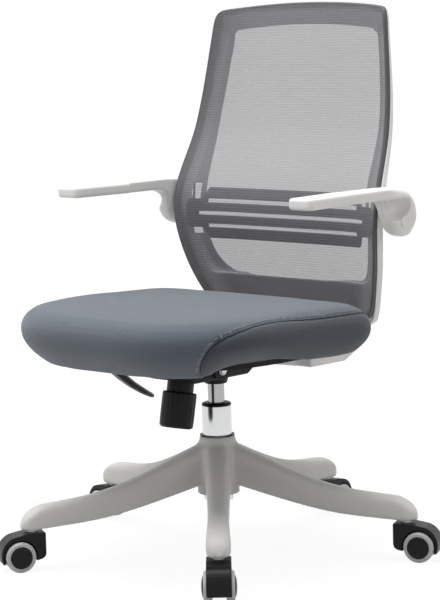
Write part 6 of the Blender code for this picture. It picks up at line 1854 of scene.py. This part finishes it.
@dataclass
class Arms:
    """Flip-up arms and the capped pins that they turn on."""

    centre: float = 0.250
    width: float = 0.050
    splay: float = 0.010
    tip: float = -0.080
    step_setback: float = 0.041
    top: float = 0.604
    thickness: float = 0.018
    corners: tuple[float, float] = (0.010, 0.015)
    edge: float = 0.0042
    hub: tuple[float, float] = (0.1620, 0.5545)
    hub_radius: float = 0.0425
    trim: tuple[float, float] = (0.1800, 0.5605)
    trim_radius: float = 0.0385
    rear: float = 0.188
    roll: tuple[float, float] = (0.122, 5.5)
    taper: float = 0.004
    hub_face: float = 0.269
    hub_edge: float = 0.0155
    inner_face: float = 0.2312
    dish: tuple[float, float] = (0.1530, 0.5745)
    dish_radius: float = 0.024
    dish_depth: float = 0.0225
    dish_blend: float = 0.004
    blend: float = 0.036
    pin_radius: float = 0.004
    cap_radius: float = 0.009
    cap_thickness: float = 0.002
    cap_bevel: float = 0.0012
    inner_end: float = 0.2168
    pin_edge: float = 0.0007
    pin_steps: int = 64
    step: float = 0.0015
    margin: float = 0.006
    reach: float = 0.018
    rounds: int = 4

    def field(self, x: Array, y: Array, z: Array) -> Array:
        """Distance from the sitter's left arm: a flat pad, blended into a round hub with a dish in its side.

        Args:
            x: Places across.
            y: Places along.
            z: Heights.

        Returns:
            Rough distance, negative inside.
        """
        shift = self.splay * np.clip((self.step_setback - y) / (self.step_setback - self.tip), 0.0, 1.0)
        middle = (self.tip + self.rear) / 2
        corner = np.where(y < middle, *self.corners)
        narrow = self.taper * step_between(middle, self.rear, y)
        side = np.abs(x - self.centre - shift + narrow) - self.width / 2 + narrow + corner
        along = np.abs(y - middle) - (self.rear - self.tip) / 2 + corner
        plan = rounded_corner(side, along, corner)
        half = self.thickness / 2
        fall = self.roll[1] * np.maximum(0.0, y - self.roll[0]) ** 2
        rise = np.abs(z - self.top + half + fall) - half + self.edge
        pad = rounded_corner(plan + self.edge, rise, self.edge)
        middle, thick = (self.inner_face + self.hub_face) / 2, (self.hub_face - self.inner_face) / 2
        disc = np.hypot(y - self.hub[0], z - self.hub[1]) - self.hub_radius
        trim = np.hypot(y - self.trim[0], z - self.trim[1]) - self.trim_radius
        disc = np.maximum(disc, trim) + self.hub_edge
        face = np.abs(x - middle) - thick + self.hub_edge
        hub = rounded_corner(disc, face, self.hub_edge)
        ball = (self.dish_radius**2 + self.dish_depth**2) / (2 * self.dish_depth)
        deep = self.hub_face + ball - self.dish_depth
        scoop = np.sqrt((x - deep) ** 2 + (y - self.dish[0]) ** 2 + (z - self.dish[1]) ** 2) - ball
        whole = soft_union(pad, hub, self.blend)
        whole = -soft_union(-whole, np.maximum(scoop, z - self.top + self.thickness), self.dish_blend)
        whole = np.maximum(whole, z - self.top)
        beside = np.where(y > self.step_setback, self.inner_face - x, -1.0)
        return np.maximum(whole, beside)

    def build(self, shop: Workshop) -> None:
        """Skin the arms and turn their pins."""
        outer = self.hub_face + CLEARANCE
        corners = [
            (0.0, outer + self.cap_thickness),
            (self.cap_radius - self.cap_bevel, outer + self.cap_thickness),
            (self.cap_radius, outer),
            (self.pin_radius, outer),
            (self.pin_radius, self.inner_end),
            (0.0, self.inner_end),
        ]
        low = np.array([self.centre - self.width / 2, self.tip, self.hub[1] - self.hub_radius]) - self.margin
        high = np.array([self.centre + self.width / 2, self.hub[0] + self.hub_radius, self.top])
        high = high + (self.reach, self.margin, self.margin)
        axes = [np.arange(a, b, self.step) for a, b in zip(low, high)]
        points, quads = level_surface(self.field(*np.meshgrid(*axes, indexing="ij")), low, self.step)
        for side in Side:
            body = f"arm_{side.word}"
            placed = points * (side.value, 1, 1)
            arm = shop.piece(f"{body}_moulding", placed, quads, WHITE, body, (body,))
            soften(arm, self.rounds)
            node = f"arm_pin_{side.word}"
            place = shop.place((0.0, *ARM_PIVOT), side.value * math.pi / 2)
            shop.turned_piece(
                f"{node}_cap", corners, self.pin_edge, WHITE, "upper", (node,), place, False, self.pin_steps
            )


@dataclass
class Studio:
    """Pale floor, soft light and the camera at the photo's viewing angle."""

    azimuth: float = math.radians(43.0)
    elevation: float = math.radians(7.3215)
    distance: float = 3.8503
    roll: float = math.radians(-1.5395)
    aim: tuple[float, float] = (0.0105, 0.4207)
    lens: float = 140.19
    floor_glow: tuple[float, float] = (0.915, 0.985)
    floor_reach: tuple[float, float] = (0.8, 3.5)
    floor_seen: float = 0.12
    floor_tone: float = 0.55
    sky: float = 0.30

    def build(self, shop: Workshop) -> None:
        """Set up the whole studio."""
        bpy.context.scene.view_settings.view_transform = "Standard"
        self.build_camera(shop)
        self.build_floor()
        self.build_world()
        self.lamp("top_light", (-0.3, -0.3, 3.4), (0.0, 0.0, 0.4), 2.6, 125.0)
        self.lamp("front_light", (-2.4, -2.6, 2.0), (0.0, 0.0, 0.5), 1.8, 30.0)
        self.lamp("side_light", (3.0, 0.6, 1.9), (0.0, 0.0, 0.5), 1.4, 14.0)

    def build_camera(self, shop: Workshop) -> None:
        """Place the camera."""
        a, e = self.azimuth, self.elevation
        right = Vector((math.cos(a), math.sin(a), 0.0))
        back = Vector((math.sin(a) * math.cos(e), -math.cos(a) * math.cos(e), math.sin(e)))
        up = back.cross(right)
        target = Vector(shop.axis) + right * self.aim[0] + Vector((0.0, 0.0, self.aim[1]))
        turn = Matrix((right, up, back)).transposed().to_4x4() @ Matrix.Rotation(self.roll, 4, "Z")
        data = bpy.data.cameras.new("camera")
        data.lens = self.lens
        data.sensor_width = 36.0
        camera = bpy.data.objects.new("camera", data)
        camera.matrix_world = Matrix.Translation(target + back * self.distance) @ turn
        bpy.context.scene.collection.objects.link(camera)
        bpy.context.scene.camera = camera

    def build_floor(self) -> None:
        """Lay a pale floor that looks white to the camera and still takes the chair's shadow."""
        radius = np.array([0.0, 2.0, 6.0, 20.0, 60.0])
        points = turned(np.column_stack([radius, np.zeros(5)]), 64)
        floor = add_object("floor", mesh_from("floor", points, grid_faces(*points.shape[:2])))
        made, wire, shader = blank_material("pale_floor")
        seen = wire.seen()
        tone = wire.math("MULTIPLY_ADD", seen, self.floor_seen - self.floor_tone, self.floor_tone)
        matt = wire.node("ShaderNodeBsdfDiffuse", {"Color": wire.grey(tone)}).outputs[0]
        away = wire.node("ShaderNodeVectorMath", {0: wire.place()}, operation="LENGTH").outputs["Value"]
        ramp = dict(enumerate((*self.floor_reach, *self.floor_glow), start=1))
        strength = wire.node("ShaderNodeMapRange", {0: away, **ramp})
        glow = wire.math("MULTIPLY", seen, strength.outputs[0])
        light = wire.node("ShaderNodeEmission", {"Color": PURE_WHITE, "Strength": glow}).outputs[0]
        both = wire.node("ShaderNodeAddShader", {0: matt, 1: light}).outputs[0]
        wire.feed(made.node_tree.nodes["Material Output"], {"Surface": both})
        made.node_tree.nodes.remove(shader)
        floor.data.materials.append(made)

    def build_world(self) -> None:
        """Light the chair from all round, and show white behind it."""
        world = bpy.data.worlds.new("studio")
        world.use_nodes = True
        wire = Wiring(world.node_tree)
        seen = wire.seen()
        level = wire.math("MULTIPLY_ADD", seen, 1.0 - self.sky, self.sky)
        wire.feed(world.node_tree.nodes["Background"], {"Color": PURE_WHITE, "Strength": level})
        bpy.context.scene.world = world

    @staticmethod
    def lamp(name: str, place: tuple, target: tuple, size: float, power: float) -> None:
        """Hang a square soft lamp.

        Args:
            name: Its name.
            place: Where it hangs.
            target: What it faces.
            size: Length of its side.
            power: Its power in watts.
        """
        data = bpy.data.lights.new(name, "AREA")
        data.size = size
        data.energy = power
        lamp = bpy.data.objects.new(name, data)
        lamp.location = place
        lamp.rotation_euler = (Vector(place) - Vector(target)).to_track_quat("Z", "Y").to_euler()
        bpy.context.scene.collection.objects.link(lamp)


def dress_carried_nodes(shop: Workshop) -> None:
    """Give every CAD node that still shows the finish of its slot."""
    finishes = {finish.slot.value: finish for finish in CARRIED}
    for name, node in shop.frame["nodes"].items():
        if node.hide_render:
            continue
        node.data.materials.clear()
        node.data.materials.append(finishes[shop.slots[name]].material())


def main() -> None:
    """Build the chair's looks in order."""
    logging.basicConfig(level=logging.INFO, format="%(name)s: %(message)s")
    for obj in list(bpy.data.objects):
        bpy.data.objects.remove(obj)
    shop = Workshop(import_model())
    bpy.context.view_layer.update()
    base = StarBase()
    base.build(shop)
    Casters(base).build(shop)
    GasLift().build(shop)
    Mechanism().build(shop)
    Seat().build(shop)
    Back().build(shop)
    Arms().build(shop)
    dress_carried_nodes(shop)
    Studio().build(shop)
    LOG.info("%d pieces made", shop.made)


if __name__ == "__main__":
    main()
